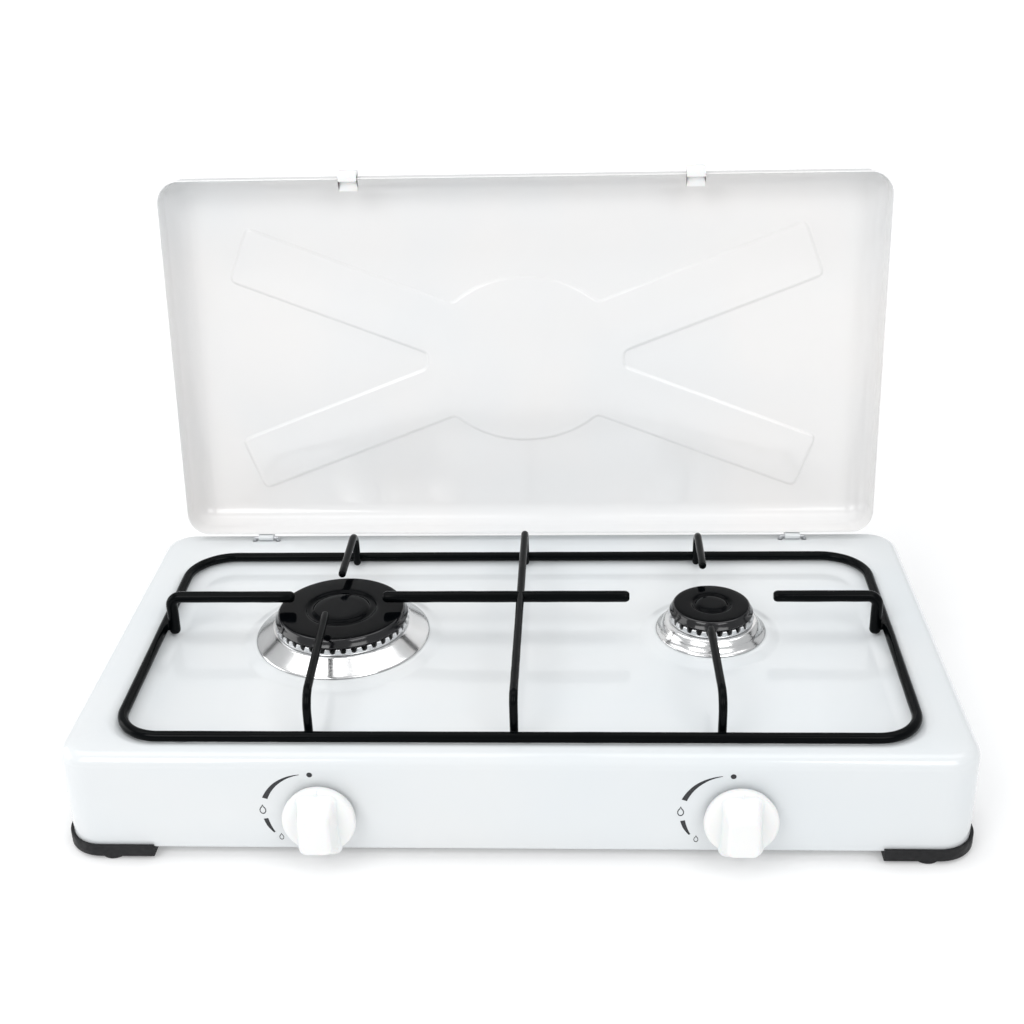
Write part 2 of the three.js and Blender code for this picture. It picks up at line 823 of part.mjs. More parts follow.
// The D section that turns a knob, as a bar from y0 to y1 with some play.
function dBar(x, y0, y1, play) {
  const r = stemRadius + play;
  const bar = rodY(x, tapZ, y0, y1, r);
  return bar.subtract(block([x - 9, y0 - 1, tapZ + stemFlat + play], [x + 9, y1 + 1, tapZ + 9]));
}

function tapStem(b) {
  const x = b.tapX;
  const tip = knobFace - 3;
  const round = front - 1;
  return join(
    dBar(x, tip, round + 0.5, 0),
    rodY(x, tapZ, round, collar[1], stemRadius),
    rodY(x, tapZ, collar[0], collar[1], tapBore - play),
    block([x - 0.8, collar[1] - 0.5, tapZ - 3], [x + 0.8, bladeTip, tapZ + 3]),
  );
}

// The spring between the stem's collar and the plug.
function tapSpring(b) {
  const [y0, y1] = [collar[1] + 0.7, plugFront - 0.7];
  const r = tapBore - 1;
  const turns = 4;
  const perTurn = 10;
  const coil = new THREE.Curve();
  coil.getPoint = (t, target = new THREE.Vector3()) => {
    const angle = t * turns * 2 * Math.PI;
    return target.set(r * Math.cos(angle), y0 + t * (y1 - y0), r * Math.sin(angle));
  };
  const options = { steps: turns * perTurn, extrudePath: coil };
  const made = new THREE.ExtrudeGeometry(roundSection(0.4, 5), options);
  return solid(made.translate(b.tapX, 0, tapZ));
}

// The grip: a bar with sloping ends across the knob's face, a little wider at its lower end.
function knobGrip(x) {
  const half = gripWidth / 2;
  const front0 = knobFace - gripReach;
  const bell = new THREE.Shape();
  bell.moveTo(-half + 1.5, 30);
  bell.lineTo(-half + 1.5, 6);
  bell.quadraticCurveTo(-half + 1.5, -6, -half, -12);
  bell.lineTo(-half, -30);
  bell.lineTo(half, -30);
  bell.lineTo(half, -12);
  bell.quadraticCurveTo(half - 1.5, -6, half - 1.5, 6);
  bell.lineTo(half - 1.5, 30);
  const bar = { depth: gripReach + 1, bevelEnabled: false, curveSegments: 4 };
  const upright = new THREE.ExtrudeGeometry(bell, bar).rotateX(Math.PI / 2);
  const side = new THREE.Shape();
  side.moveTo(knobFace + 1, -knobRadius + 2);
  side.lineTo(knobFace, -knobRadius + 2);
  side.lineTo(front0 + 2.5, -knobRadius + 9);
  side.quadraticCurveTo(front0, -knobRadius + 10.5, front0, -knobRadius + 14);
  side.lineTo(front0, knobRadius - 12);
  side.quadraticCurveTo(front0, knobRadius - 7, front0 + 3, knobRadius - 5.5);
  side.lineTo(knobFace, knobRadius - 2.5);
  side.lineTo(knobFace + 1, knobRadius - 2.5);
  const across = { depth: gripWidth, bevelEnabled: false, curveSegments: 4 };
  const profile = new THREE.ExtrudeGeometry(side, across).rotateZ(Math.PI / 2).rotateY(Math.PI / 2);
  const plan = roundedPlan(x - half, front0, x + half, knobFace + 9, gripRound, 1);
  return solid(profile.translate(x - half, 0, tapZ))
    .intersect(solid(upright.translate(x, knobFace + 1, tapZ)))
    .intersect(raised(plan, tapZ - 30, tapZ + 30, 4));
}

function knob(b) {
  const x = b.tapX;
  const rimRear = knobFace + knobChamfer + knobRim;
  const skirt = join(
    rodY(x, tapZ, rimRear, knobRear, knobRadius, knobRadius - 1, 36),
    rodY(x, tapZ, knobFace + knobChamfer, rimRear, knobRadius, knobRadius, 36),
    rodY(x, tapZ, knobFace, knobFace + knobChamfer, knobRadius - knobChamfer, knobRadius, 36),
  );
  const outer = knobRadius - 1 - knobWall;
  const recess = rodY(x, tapZ, knobRear - knobRecess, knobRear + 1, outer, outer, 36);
  const hub = rodY(x, tapZ, knobRear - knobRecess - 1, knobRear, knobHub);
  const nib = block([x - 0.8, knobFace - 0.8, tapZ + 13], [x + 0.8, knobFace + 1, tapZ + 19]);
  const socket = dBar(x, knobFace - 4, knobRear + 1, stemPlay);
  return cut(join(cut(skirt, recess), hub, knobGrip(x), nib), socket);
}

function injector(b) {
  const y0 = outletRear + gap;
  const body = join(
    rodY(b.tapX, tapZ, y0, y0 + 4, injectorRadius + 0.6, injectorRadius + 0.6, 6),
    rodY(b.tapX, tapZ, y0 + 3.5, outletRear + injectorLength, injectorRadius, 2),
  );
  return body.subtract(rodY(b.tapX, tapZ, y0 - 1, outletRear + injectorLength + 1, 0.9, 0.9, 8));
}

const manifoldY = (tapFront + 10 + tapRear) / 2;

// One pipe under both taps, then back to the rear wall. Its left end is closed by a cap.
function gasManifold() {
  const end = rear - sheet - 14;
  const run = [
    [large.tapX - 16, manifoldY, manifoldZ],
    [manifoldX, manifoldY, manifoldZ],
    [manifoldX, end, manifoldZ],
  ];
  const pipe = wire(run, manifoldRadius, manifoldBend);
  const inside = run.map((p) => [...p]);
  inside[2][1] += 2;
  inside[0][0] += 2;
  return pipe.subtract(wire(inside, manifoldRadius - 1, manifoldBend, 8));
}

function hoseNozzle() {
  const [x, z] = [manifoldX, manifoldZ];
  const inner = rear - sheet - 14 + gap;
  const tail = rear + nozzleLength;
  const parts = [
    rodY(x, z, inner, rear - sheet - gap, nozzleHex, nozzleHex, 6),
    rodY(x, z, rear - sheet - gap - 1, rear + 9, hoseHole - gap, hoseHole - gap, 16),
    rodY(x, z, rear + 8, tail, nozzleBarb - 1, nozzleBarb - 1, 16),
  ];
  for (let i = 0; i < 3; i++) {
    const y = rear + 10 + 4.5 * i;
    parts.push(rodY(x, z, y, y + 3.5, nozzleBarb, nozzleBarb - 1.2, 16));
  }
  return join(...parts).subtract(rodY(x, z, inner - 1, tail + 1, 2.5, 2.5, 12));
}

function nozzleLocknut() {
  const [x, z] = [manifoldX, manifoldZ];
  const nut = rodY(x, z, rear + gap, rear + 5.3, nozzleHex + 0.5, nozzleHex + 0.5, 6);
  return nut.subtract(rodY(x, z, rear - 1, rear + 8, hoseHole, hoseHole, 16));
}

function tapParts(b) {
  const group = new THREE.Group();
  group.add(piece("tap_body_" + b.name, tapBody(b), brass));
  group.add(piece("tap_cover_" + b.name, tapCover(b), zinc));
  group.add(piece("tap_bracket_" + b.name, tapBracket(b), zinc));
  group.add(piece("tap_plug_" + b.name, tapPlug(b), brass));
  group.add(piece("tap_stem_" + b.name, tapStem(b), zinc));
  group.add(piece("tap_spring_" + b.name, tapSpring(b), zinc));
  group.add(piece("injector_" + b.name, injector(b), brass));
  group.add(piece("knob_" + b.name, knob(b), plastic));
  [-1, 1].forEach((side, i) => {
    const made = tapScrewAt(b.tapX, tapZ + side * tapScrewOffset);
    group.add(piece("tap_screw_" + b.name + "_" + (i + 1), made, zinc));
  });
  return group;
}

// ---------- hinges and lid ----------

// The wire staple in the rear rim that the lid turns on, its ends turned out under the rim.
function hingeStaple(x) {
  const under = rimTop - sheet - gap - hingeWire;
  const run = [
    [x - hingeHalf - 5, hingeY, under],
    [x - hingeHalf, hingeY, under],
    [x - hingeHalf, hingeY, hingeZ],
    [x + hingeHalf, hingeY, hingeZ],
    [x + hingeHalf, hingeY, under],
    [x + hingeHalf + 5, hingeY, under],
  ];
  return wire(run, hingeWire, 1.4, 8);
}

// The lid tab: a strap on the lid's rear wall, curled round the staple, with a heel that
// meets the rim when the lid leans back.
function lidTab(x) {
  const r = knuckle;
  const strap = [lidRear + gap, lidRear + gap + tabSheet];
  const top = lidBottom + 11;
  const stop = hingeZ - rimTop - gap;
  const heel = new THREE.Vector2((stop - heelHeight * Math.sin(lean)) / Math.cos(lean), heelHeight);
  const profile = new THREE.Shape();
  profile.moveTo(strap[0], hingeZ + 1.5);
  profile.lineTo(strap[0], top);
  profile.lineTo(strap[1], top);
  profile.lineTo(strap[1] + 1, hingeZ + heel.y + 1.6);
  profile.lineTo(hingeY + heel.x, hingeZ + heel.y);
  profile.lineTo(hingeY + r, hingeZ);
  profile.absarc(hingeY, hingeZ, r, 0, -Math.PI, true);
  const hole = new THREE.Path();
  hole.absarc(hingeY, hingeZ, hingeWire + play, 0, 2 * Math.PI);
  profile.holes.push(hole);
  const options = { depth: tabWidth, bevelEnabled: false, curveSegments: 8 };
  const made = new THREE.ExtrudeGeometry(profile, options);
  // the profile's u runs along Y and its v along Z
  made.rotateZ(Math.PI / 2).rotateY(Math.PI / 2);
  return solid(made.translate(x - tabWidth / 2, 0, 0));
}

// The embossed relief: an oval with four arms, as a raised plan that tapers upwards.
function relief(grow, z0, z1) {
  const centreY = lidRear - lidDepth * reliefCentre;
  const tip = [lidWidth / 2 - reliefMarginSide, lidDepth / 2 - reliefMarginEnd];
  const angle = Math.atan2(tip[1], tip[0]);
  const plans = [];
  const oval = new THREE.Shape();
  oval.absellipse(0, 0, reliefOval[0] + grow, reliefOval[1] + grow, 0, 2 * Math.PI);
  plans.push([oval, 0]);
  for (const turn of [angle, -angle]) {
    const arm = new THREE.Shape();
    const [half, reach] = [reliefArm + grow, Math.hypot(...tip) + grow];
    arm.moveTo(-reach, -half);
    arm.lineTo(reach, -half);
    arm.lineTo(reach, half);
    arm.lineTo(-reach, half);
    plans.push([arm, turn]);
  }
  const made = plans.map(([plan, turn]) => {
    const options = { depth: z1 - z0, bevelEnabled: false, curveSegments: 12 };
    const one = new THREE.ExtrudeGeometry(plan, options);
    one.rotateZ(turn).translate(0, centreY, z0);
    return solid(one);
  });
  return join(...made);
}

function lidPanel() {
  const shell = (inset) =>
    domedBlock(
      -lidWidth / 2 + inset,
      lidRear - lidDepth + inset,
      lidWidth / 2 - inset,
      lidRear - inset,
      lidBottom - (inset ? 3 : 0),
      lidBottom + lidHeight - inset,
      lidCorner - inset,
      lidEdge - inset,
    );
  const top = lidBottom + lidHeight;
  const outer = shell(0).subtract(relief(0, top - reliefDepth, top + 5));
  const inner = shell(lidSheet).subtract(relief(1, top - reliefDepth - lidSheet, top + 5));
  return outer.subtract(inner);
}

// A buffer clipped on the lid's front edge: it rests on the support's front rail when shut.
function lidClip(x) {
  const edge = lidRear - lidDepth;
  const inner = edge + lidSheet;
  const low = lidBottom - 1.2;
  const jaw = railZ + railRadius + 2 * gap;
  const profile = new THREE.Shape();
  const corners = [
    [edge - 4.8, low],
    [inner + 2 * gap + 0.6, low],
    [inner + 2 * gap + 0.6, jaw],
    [railFront + 1.8, jaw],
    [railFront + 1.8, jaw + 3.6],
    [inner + gap, jaw + 3.6],
    [inner + gap, lidBottom - gap],
    [edge - gap, lidBottom - gap],
    [edge - gap, jaw + 4.6],
    [edge - 4.8, jaw + 4.6],
  ];
  corners.forEach(([y, z], i) => (i ? profile.lineTo(y, z) : profile.moveTo(y, z)));
  const options = { depth: clipWidth, bevelEnabled: false };
  const made = new THREE.ExtrudeGeometry(profile, options);
  made.rotateZ(Math.PI / 2).rotateY(Math.PI / 2);
  return solid(made.translate(x - clipWidth / 2, 0, 0));
}

// The lid turns about its hinge from closed to a little past upright.
function lid() {
  const turning = new THREE.Group();
  const parts = new THREE.Group();
  parts.add(piece("lid_panel", lidPanel(), enamelWhite));
  for (const [side, name] of [[-1, "left"], [1, "right"]]) {
    parts.add(piece("lid_tab_" + name, lidTab(side * hingeX), enamelWhite));
    parts.add(piece("lid_clip_" + name, lidClip(side * clipX), plastic));
  }
  parts.position.set(0, -hingeY, -hingeZ);
  turning.add(parts);
  turning.position.set(0, hingeY, hingeZ);
  turning.rotation.x = -Math.PI / 2 - lean;
  return turning;
}

// ---------- the stove ----------

const stove = new THREE.Group();
stove.add(piece("casing", casing(), enamelWhite));
for (const [sideY, end] of [[-1, "front"], [1, "rear"]]) {
  for (const [sideX, side] of [[-1, "left"], [1, "right"]]) {
    stove.add(piece("corner_foot_" + end + "_" + side, cornerFoot(sideX, sideY), rubber));
  }
}
stove.add(burnerParts(large), burnerParts(small));
stove.add(tapParts(large), tapParts(small));
stove.add(piece("gas_manifold", gasManifold(), zinc));
stove.add(piece("hose_nozzle", hoseNozzle(), brass));
stove.add(piece("nozzle_locknut", nozzleLocknut(), brass));
stove.add(piece("hinge_wire_left", hingeStaple(-hingeX), zinc));
stove.add(piece("hinge_wire_right", hingeStaple(hingeX), zinc));
stove.add(panSupport());
stove.add(lid());

// The origin is on the table under the middle of everything, knobs and open lid included.
const extent = new THREE.Box3().setFromObject(stove, true);
const centre = extent.getCenter(new THREE.Vector3());
stove.position.set(-centre.x, -centre.y, -extent.min.z);

export default stove;
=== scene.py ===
"""Two-burner tabletop gas stove with its lid open, on a pale floor in soft studio light."""
import json
import math

import bmesh
import bpy
from mathutils import Matrix, Vector, noise


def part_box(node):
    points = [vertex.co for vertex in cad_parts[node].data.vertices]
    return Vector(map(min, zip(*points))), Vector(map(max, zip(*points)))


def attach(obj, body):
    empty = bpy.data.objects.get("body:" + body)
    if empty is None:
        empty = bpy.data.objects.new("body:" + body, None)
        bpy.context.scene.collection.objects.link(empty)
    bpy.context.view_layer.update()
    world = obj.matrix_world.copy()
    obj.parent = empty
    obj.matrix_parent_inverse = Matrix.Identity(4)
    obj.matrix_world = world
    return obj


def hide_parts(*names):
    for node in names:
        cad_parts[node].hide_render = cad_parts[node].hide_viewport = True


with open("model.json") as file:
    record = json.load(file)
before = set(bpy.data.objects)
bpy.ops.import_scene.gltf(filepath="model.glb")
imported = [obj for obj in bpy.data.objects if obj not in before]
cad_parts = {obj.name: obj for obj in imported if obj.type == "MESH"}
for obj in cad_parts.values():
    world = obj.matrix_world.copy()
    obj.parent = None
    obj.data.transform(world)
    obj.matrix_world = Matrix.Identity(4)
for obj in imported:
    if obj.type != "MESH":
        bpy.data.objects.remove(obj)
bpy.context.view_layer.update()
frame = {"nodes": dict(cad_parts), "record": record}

# Sizes are in millimetres about the casing's centre, with z = 0 on the table.
MM = 0.001
TAU = 2 * math.pi

HALF_WIDTH = 250
HALF_DEPTH = 134
RIM = 67
CASING_LOW = 7
CORNER = 20
EDGE = 8
FLOOR = 60
DISH = 62.5
SHEET = 1.0

WELL_X = 228.8
WELL_FRONT = -121.8
WELL_REAR = 102
WELL_FRONT_CORNER = 32
WELL_REAR_CORNER = 35
WELL_RUN = 18

RAIL_X = 221.8
RAIL_FRONT = -114.8
RAIL_REAR = 95
RAIL_Z = 67.82
RAIL = 3
BAR = 3.5
THIN = 2.4
PAN = 92
LEG_FRONT = -109.1
LEG_REAR = 89.3
LEG_SIDE = 215
LEG_FOOT = 65
SIDE_FOOT = 63.2
CROSS_Y = 3.5
FINGER_X = 112.8
ROD_BEND = 6

HINGE_Y = 121
HINGE_Z = 69.3
HINGE_X = 180
HINGE_WIRE = 1.1
LID_HALF = 233.5
LID_REAR = 118.4
LID_FRONT = -121.6
LID_LOW = 68.6
LID_TOP = 96.6
LID_CORNER = 15
LID_EDGE = 14
LID_SHEET = 0.9
LID_LEAN = math.radians(96.5)
RELIEF = 1.2

TAP_Z = 32
TAP_HOLE = 5
SCREW_HOLE = 1.9
SCREW_SPREAD = 13
NOZZLE_X = 176
NOZZLE_Z = 17.2
NOZZLE_HOLE = 6.5
CLIP_X = 110
FOOT_REACH = 50
PAD_X = 224
PAD_Y = 128.5
BURNERS = {
    "left": {
        "x": -110, "y": 3.5, "cap": 38.4, "groove": 19.3, "groove_half": 2.3,
        "cup": 32, "skirt": 53.2, "dish": 62, "teeth": 40, "tap": -105,
    },
    "right": {
        "x": 116, "y": 8.3, "cap": 23.2, "groove": 10.6, "groove_half": 1.5,
        "cup": 18, "skirt": 33.5, "dish": 43, "teeth": 26, "tap": 121.5,
    },
}
CAP_TOP = 81.1
CAP_LOW = 75.7
CAP_FLARE = 2
CROWN_TOP = 75.4
CROWN_SLOT = 72.6
CROWN_LOW = 71.0
SKIRT_HIGH = 70.7
CUP_GAP = 2.3
CROWN_WALL = 2.5
CROWN_PROUD = 0.7

low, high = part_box("casing")
SHIFT = (low.y + high.y) / 2


def place(x, y, z):
    return Vector((x * MM, y * MM + SHIFT, z * MM))


def open_lid(x, y, z):
    """A point of the shut lid, where it is with the lid open."""
    dy, dz = y - HINGE_Y, z - HINGE_Z
    c, s = math.cos(-LID_LEAN), math.sin(-LID_LEAN)
    return x, HINGE_Y + dy * c - dz * s, HINGE_Z + dy * s + dz * c


# ---------- materials ----------


def new_material(name, color, roughness, metallic=0.0, **sockets):
    mat = bpy.data.materials.new(name)
    mat.use_nodes = True
    shader = mat.node_tree.nodes["Principled BSDF"]
    shader.inputs["Base Color"].default_value = (*color, 1)
    shader.inputs["Roughness"].default_value = roughness
    shader.inputs["Metallic"].default_value = metallic
    for key, value in sockets.items():
        shader.inputs[key.replace("_", " ")].default_value = value
    return mat, mat.node_tree, shader


def noise_node(tree, scale, detail=2.0, rough=0.5, stretch=(1, 1, 1)):
    coords = tree.nodes.new("ShaderNodeTexCoord")
    mapping = tree.nodes.new("ShaderNodeMapping")
    mapping.inputs["Scale"].default_value = stretch
    tree.links.new(coords.outputs["Object"], mapping.inputs["Vector"])
    tex = tree.nodes.new("ShaderNodeTexNoise")
    tex.inputs["Scale"].default_value = scale
    tex.inputs["Detail"].default_value = detail
    tex.inputs["Roughness"].default_value = rough
    tree.links.new(mapping.outputs["Vector"], tex.inputs["Vector"])
    return tex.outputs["Fac"]


def spread(tree, value, low_end, high_end, from_low=0.35, from_high=0.65):
    """A texture value spread between two numbers."""
    ramp = tree.nodes.new("ShaderNodeMapRange")
    ramp.inputs["From Min"].default_value = from_low
    ramp.inputs["From Max"].default_value = from_high
    ramp.inputs["To Min"].default_value = low_end
    ramp.inputs["To Max"].default_value = high_end
    tree.links.new(value, ramp.inputs["Value"])
    return ramp.outputs["Result"]


def tint(tree, value, first, second):
    """A texture value as a colour between two colours."""
    ramp = tree.nodes.new("ShaderNodeValToRGB")
    ramp.color_ramp.elements[0].position = 0.35
    ramp.color_ramp.elements[1].position = 0.65
    ramp.color_ramp.elements[0].color = (*first, 1)
    ramp.color_ramp.elements[1].color = (*second, 1)
    tree.links.new(value, ramp.inputs["Fac"])
    return ramp.outputs["Color"]


def bump(tree, shader, heights):
    """Bumps from (texture value, depth in millimetres), one on the other."""
    normal = None
    for value, depth in heights:
        node = tree.nodes.new("ShaderNodeBump")
        node.inputs["Strength"].default_value = 1.0
        node.inputs["Distance"].default_value = depth * MM
        tree.links.new(value, node.inputs["Height"])
        if normal is not None:
            tree.links.new(normal, node.inputs["Normal"])
        normal = node.outputs["Normal"]
    tree.links.new(normal, shader.inputs["Normal"])


def rings(tree, centre, scale):
    """Fine turning marks about an upright axis."""
    coords = tree.nodes.new("ShaderNodeTexCoord")
    mapping = tree.nodes.new("ShaderNodeMapping")
    mapping.inputs["Location"].default_value = [-c for c in centre]
    tree.links.new(coords.outputs["Object"], mapping.inputs["Vector"])
    wave = tree.nodes.new("ShaderNodeTexWave")
    wave.wave_type = "RINGS"
    wave.rings_direction = "Z"
    wave.inputs["Scale"].default_value = scale
    wave.inputs["Distortion"].default_value = 1.2
    wave.inputs["Detail"].default_value = 2.0
    wave.inputs["Detail Scale"].default_value = 3.0
    tree.links.new(mapping.outputs["Vector"], wave.inputs["Vector"])
    return wave.outputs["Fac"]


def white_enamel(name, color):
    mat, tree, shader = new_material(name, color, 0.1, IOR=1.52)
    broad = noise_node(tree, 9, 2)
    cool = tuple(c * k for c, k in zip(color, (0.965, 0.985, 1.0)))
    tree.links.new(tint(tree, broad, color, cool), shader.inputs["Base Color"])
    tree.links.new(spread(tree, noise_node(tree, 14, 2), 0.07, 0.12), shader.inputs["Roughness"])
    bump(tree, shader, [(noise_node(tree, 7, 0), 0.5), (noise_node(tree, 500, 1, 0.4), 0.0025)])
    return mat


def black_enamel(name, color, smooth, rough, shine, wavy=0.03):
    mat, tree, shader = new_material(name, color, smooth, IOR=1.5, Specular_IOR_Level=shine)
    broad = noise_node(tree, 30, 2)
    tree.links.new(tint(tree, broad, color, tuple(1.5 * c for c in color)), shader.inputs["Base Color"])
    tree.links.new(spread(tree, noise_node(tree, 140, 3), smooth, rough), shader.inputs["Roughness"])
    bump(tree, shader, [(noise_node(tree, 90, 0), wavy), (noise_node(tree, 900, 2), 0.002)])
    return mat


def rubber():
    color = (0.008, 0.008, 0.009)
    mat, tree, shader = new_material("black_rubber", color, 0.6, IOR=1.45)
    shader.inputs["Specular IOR Level"].default_value = 0.35
    broad = noise_node(tree, 40, 3)
    tree.links.new(tint(tree, broad, color, (0.014, 0.014, 0.015)), shader.inputs["Base Color"])
    tree.links.new(spread(tree, noise_node(tree, 300, 2), 0.5, 0.7), shader.inputs["Roughness"])
    bump(tree, shader, [(noise_node(tree, 1600, 3, 0.6), 0.04)])
    return mat


def turned_metal(name, color, smooth, rough, centre, marks, depth):
    """Aluminium or steel turned about an upright axis at centre."""
    mat, tree, shader = new_material(name, color, smooth, 1.0)
    broad = noise_node(tree, 50, 2)
    darker = tuple(0.9 * c for c in color)
    tree.links.new(tint(tree, broad, color, darker), shader.inputs["Base Color"])
    lines = rings(tree, centre, marks)
    tree.links.new(spread(tree, lines, smooth, rough, 0.0, 1.0), shader.inputs["Roughness"])
    bump(tree, shader, [(lines, depth), (noise_node(tree, 700, 2), depth)])
    return mat


def drawn_metal(name, color, smooth, rough):
    """Plated steel or brass, with faint drawing marks and handling blotches."""
    mat, tree, shader = new_material(name, color, smooth, 1.0)
    darker = tuple(0.82 * c for c in color)
    tree.links.new(tint(tree, noise_node(tree, 35, 3), color, darker), shader.inputs["Base Color"])
    streaks = noise_node(tree, 90, 3, 0.6, stretch=(1, 8, 8))
    tree.links.new(spread(tree, streaks, smooth, rough), shader.inputs["Roughness"])
    bump(tree, shader, [(streaks, 0.02), (noise_node(tree, 1100, 2), 0.01)])
    return mat


def white_plastic():
    color = (0.86, 0.86, 0.85)
    mat, tree, shader = new_material("white_plastic", color, 0.35, IOR=1.46)
    shader.inputs["Subsurface Weight"].default_value = 0.12
    shader.inputs["Subsurface Scale"].default_value = 0.0015
    broad = noise_node(tree, 25, 2)
    tree.links.new(tint(tree, broad, color, (0.84, 0.845, 0.84)), shader.inputs["Base Color"])
    tree.links.new(spread(tree, noise_node(tree, 240, 2), 0.3, 0.42), shader.inputs["Roughness"])
    bump(tree, shader, [(noise_node(tree, 1500, 2), 0.012)])
    return mat


def printed_ink():
    color = (0.008, 0.009, 0.012)
    mat, tree, shader = new_material("printed_ink", color, 0.35)
    grains = noise_node(tree, 1800, 2)
    tree.links.new(tint(tree, grains, color, (0.02, 0.02, 0.024)), shader.inputs["Base Color"])
    bump(tree, shader, [(grains, 0.01)])
    return mat


WHITE = white_enamel("white_enamel", (0.74, 0.755, 0.76))
# The lid gets a brighter copy of the casing's white enamel: painted light on the open lid's inside, which is
# the same enamel as the casing.
LID_WHITE_LIT = white_enamel("white_lid_enamel_painted_light", (0.85, 0.837, 0.827))
BLACK = black_enamel("black_rod_enamel", (0.001, 0.0015, 0.0018), 0.14, 0.2, 0.07)
# One black cap enamel in two copies: the top copy has its reflection turned far down, a painted shade, and
# the flank copy keeps a strong reflection, a painted sheen.
CAP_TOP_DIMMED = black_enamel("black_cap_enamel_dimmed_reflection", (0.001, 0.0013, 0.0017), 0.08, 0.12, 0.05, 0.015)
CAP_FLANK_SHEEN = black_enamel("black_cap_flank_sheen", (0.003, 0.003, 0.004), 0.1, 0.15, 0.6, 0.015)
RUBBER = rubber()
PLASTIC = white_plastic()
INK = printed_ink()
STEEL = drawn_metal("plated_steel", (0.62, 0.63, 0.65), 0.25, 0.42)
BRASS = drawn_metal("bright_brass", (0.72, 0.56, 0.27), 0.2, 0.36)
CAST = {}
POLISHED = {}
for side, b in BURNERS.items():
    centre = place(b["x"], b["y"], 0)
    CAST[side] = turned_metal("cast_aluminium_" + side, (0.78, 0.79, 0.8), 0.28, 0.42, centre, 260, 0.012)
    POLISHED[side] = turned_metal("polished_cone_" + side, (0.86, 0.86, 0.86), 0.14, 0.24, centre, 420, 0.003)

SLOTS = {
    "enamel_white": WHITE,
    "enamel_black": BLACK,
    "foot_rubber": RUBBER,
    "plated_steel": STEEL,
    "brass": BRASS,
    "white_plastic": PLASTIC,
}


# ---------- mesh helpers ----------


def finish_piece(name, bm, material, body, replaced=(), sharp=35):
    """A piece from a bmesh: smooth, with its sharp edges kept, riding on its body."""
    bmesh.ops.recalc_face_normals(bm, faces=bm.faces)
    mesh = bpy.data.meshes.new(name)
    bm.to_mesh(mesh)
    bm.free()
    for poly in mesh.polygons:
        poly.use_smooth = True
    mesh.set_sharp_from_angle(angle=math.radians(sharp))
    mesh.materials.append(material)
    piece = bpy.data.objects.new(name, mesh)
    bpy.context.scene.collection.objects.link(piece)
    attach(piece, body)
    if replaced:
        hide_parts(*replaced)
    return piece


def apply_modifiers(piece, sharp=35):
    """The piece's modifiers as its own mesh."""
    bpy.context.view_layer.update()
    graph = bpy.context.evaluated_depsgraph_get()
    made = bpy.data.meshes.new_from_object(piece.evaluated_get(graph))
    piece.modifiers.clear()
    piece.data = made
    for poly in made.polygons:
        poly.use_smooth = True
    made.set_sharp_from_angle(angle=math.radians(sharp))


def thicken(piece, thickness):
    """Sheet thickness on the inner side of a skin."""
    shell = piece.modifiers.new("sheet", "SOLIDIFY")
    shell.thickness = thickness * MM
    shell.offset = -1
    shell.use_even_offset = True


def ring_of(bm, points, where=lambda x, y, z: (x, y, z)):
    return [bm.verts.new(place(*where(*p))) for p in points]


def band(bm, first, second):
    """A closed strip of faces between two rings of corners."""
    count = len(first)
    for i in range(count):
        j = (i + 1) % count
        bm.faces.new((first[i], first[j], second[j], second[i]))


def bands(bm, loops):
    for first, second in zip(loops, loops[1:]):
        band(bm, first, second)


def fill(bm, *loops):
    """A flat area bounded by closed loops of corners."""
    edges = []
    for loop in loops:
        for i, v in enumerate(loop):
            w = loop[(i + 1) % len(loop)]
            edges.append(bm.edges.get((v, w)) or bm.edges.new((v, w)))
    bmesh.ops.triangle_fill(bm, use_beauty=True, use_dissolve=False, edges=edges)


def plan_ring(x0, y0, x1, y1, front, rear, z, arc=14, long=20, short=12):
    """A rectangle's outline with rounded corners, always with the same number of points."""
    corners = [
        (x1 - front, y0 + front, front, -90),
        (x1 - rear, y1 - rear, rear, 0),
        (x0 + rear, y1 - rear, rear, 90),
        (x0 + front, y0 + front, front, 180),
    ]
    points = []
    for k, (cx, cy, r, start) in enumerate(corners):
        for i in range(arc + 1):
            a = math.radians(start + 90 * i / arc)
            points.append((cx + r * math.cos(a), cy + r * math.sin(a), z))
        nx, ny, nr, turn = corners[(k + 1) % 4]
        a = math.radians(turn)
        end = (nx + nr * math.cos(a), ny + nr * math.sin(a), z)
        begin = points[-1]
        steps = short if k % 2 == 0 else long
        for i in range(1, steps):
            t = i / steps
            points.append(tuple(p + t * (q - p) for p, q in zip(begin, end)))
    return points


def circle(cx, cy, r, z, count=96):
    angles = [TAU * i / count for i in range(count)]
    return [(cx + r * math.cos(a), cy + r * math.sin(a), z) for a in angles]


def lathe(bm, profile, to_point, count=96, closed=False):
    """A turned form: profile holds (radius, height), and to_point puts radius, angle and height in space."""
    loops = []
    for r, h in profile:
        if r < 1e-6:
            loops.append([bm.verts.new(to_point(0, 0, h))])
        else:
            loops.append([bm.verts.new(to_point(r, TAU * i / count, h)) for i in range(count)])
    if closed:
        loops.append(loops[0])
    for first, second in zip(loops, loops[1:]):
        if len(first) == 1:
            for i in range(count):
                bm.faces.new((first[0], second[(i + 1) % count], second[i]))
        elif len(second) == 1:
            for i in range(count):
                bm.faces.new((first[i], first[(i + 1) % count], second[0]))
        else:
            band(bm, first, second)


def upright(cx, cy):
    return lambda r, a, h: place(cx + r * math.cos(a), cy + r * math.sin(a), h)


def facing_front(cx, cz):
    return lambda r, a, h: place(cx + r * math.cos(a), h, cz + r * math.sin(a))


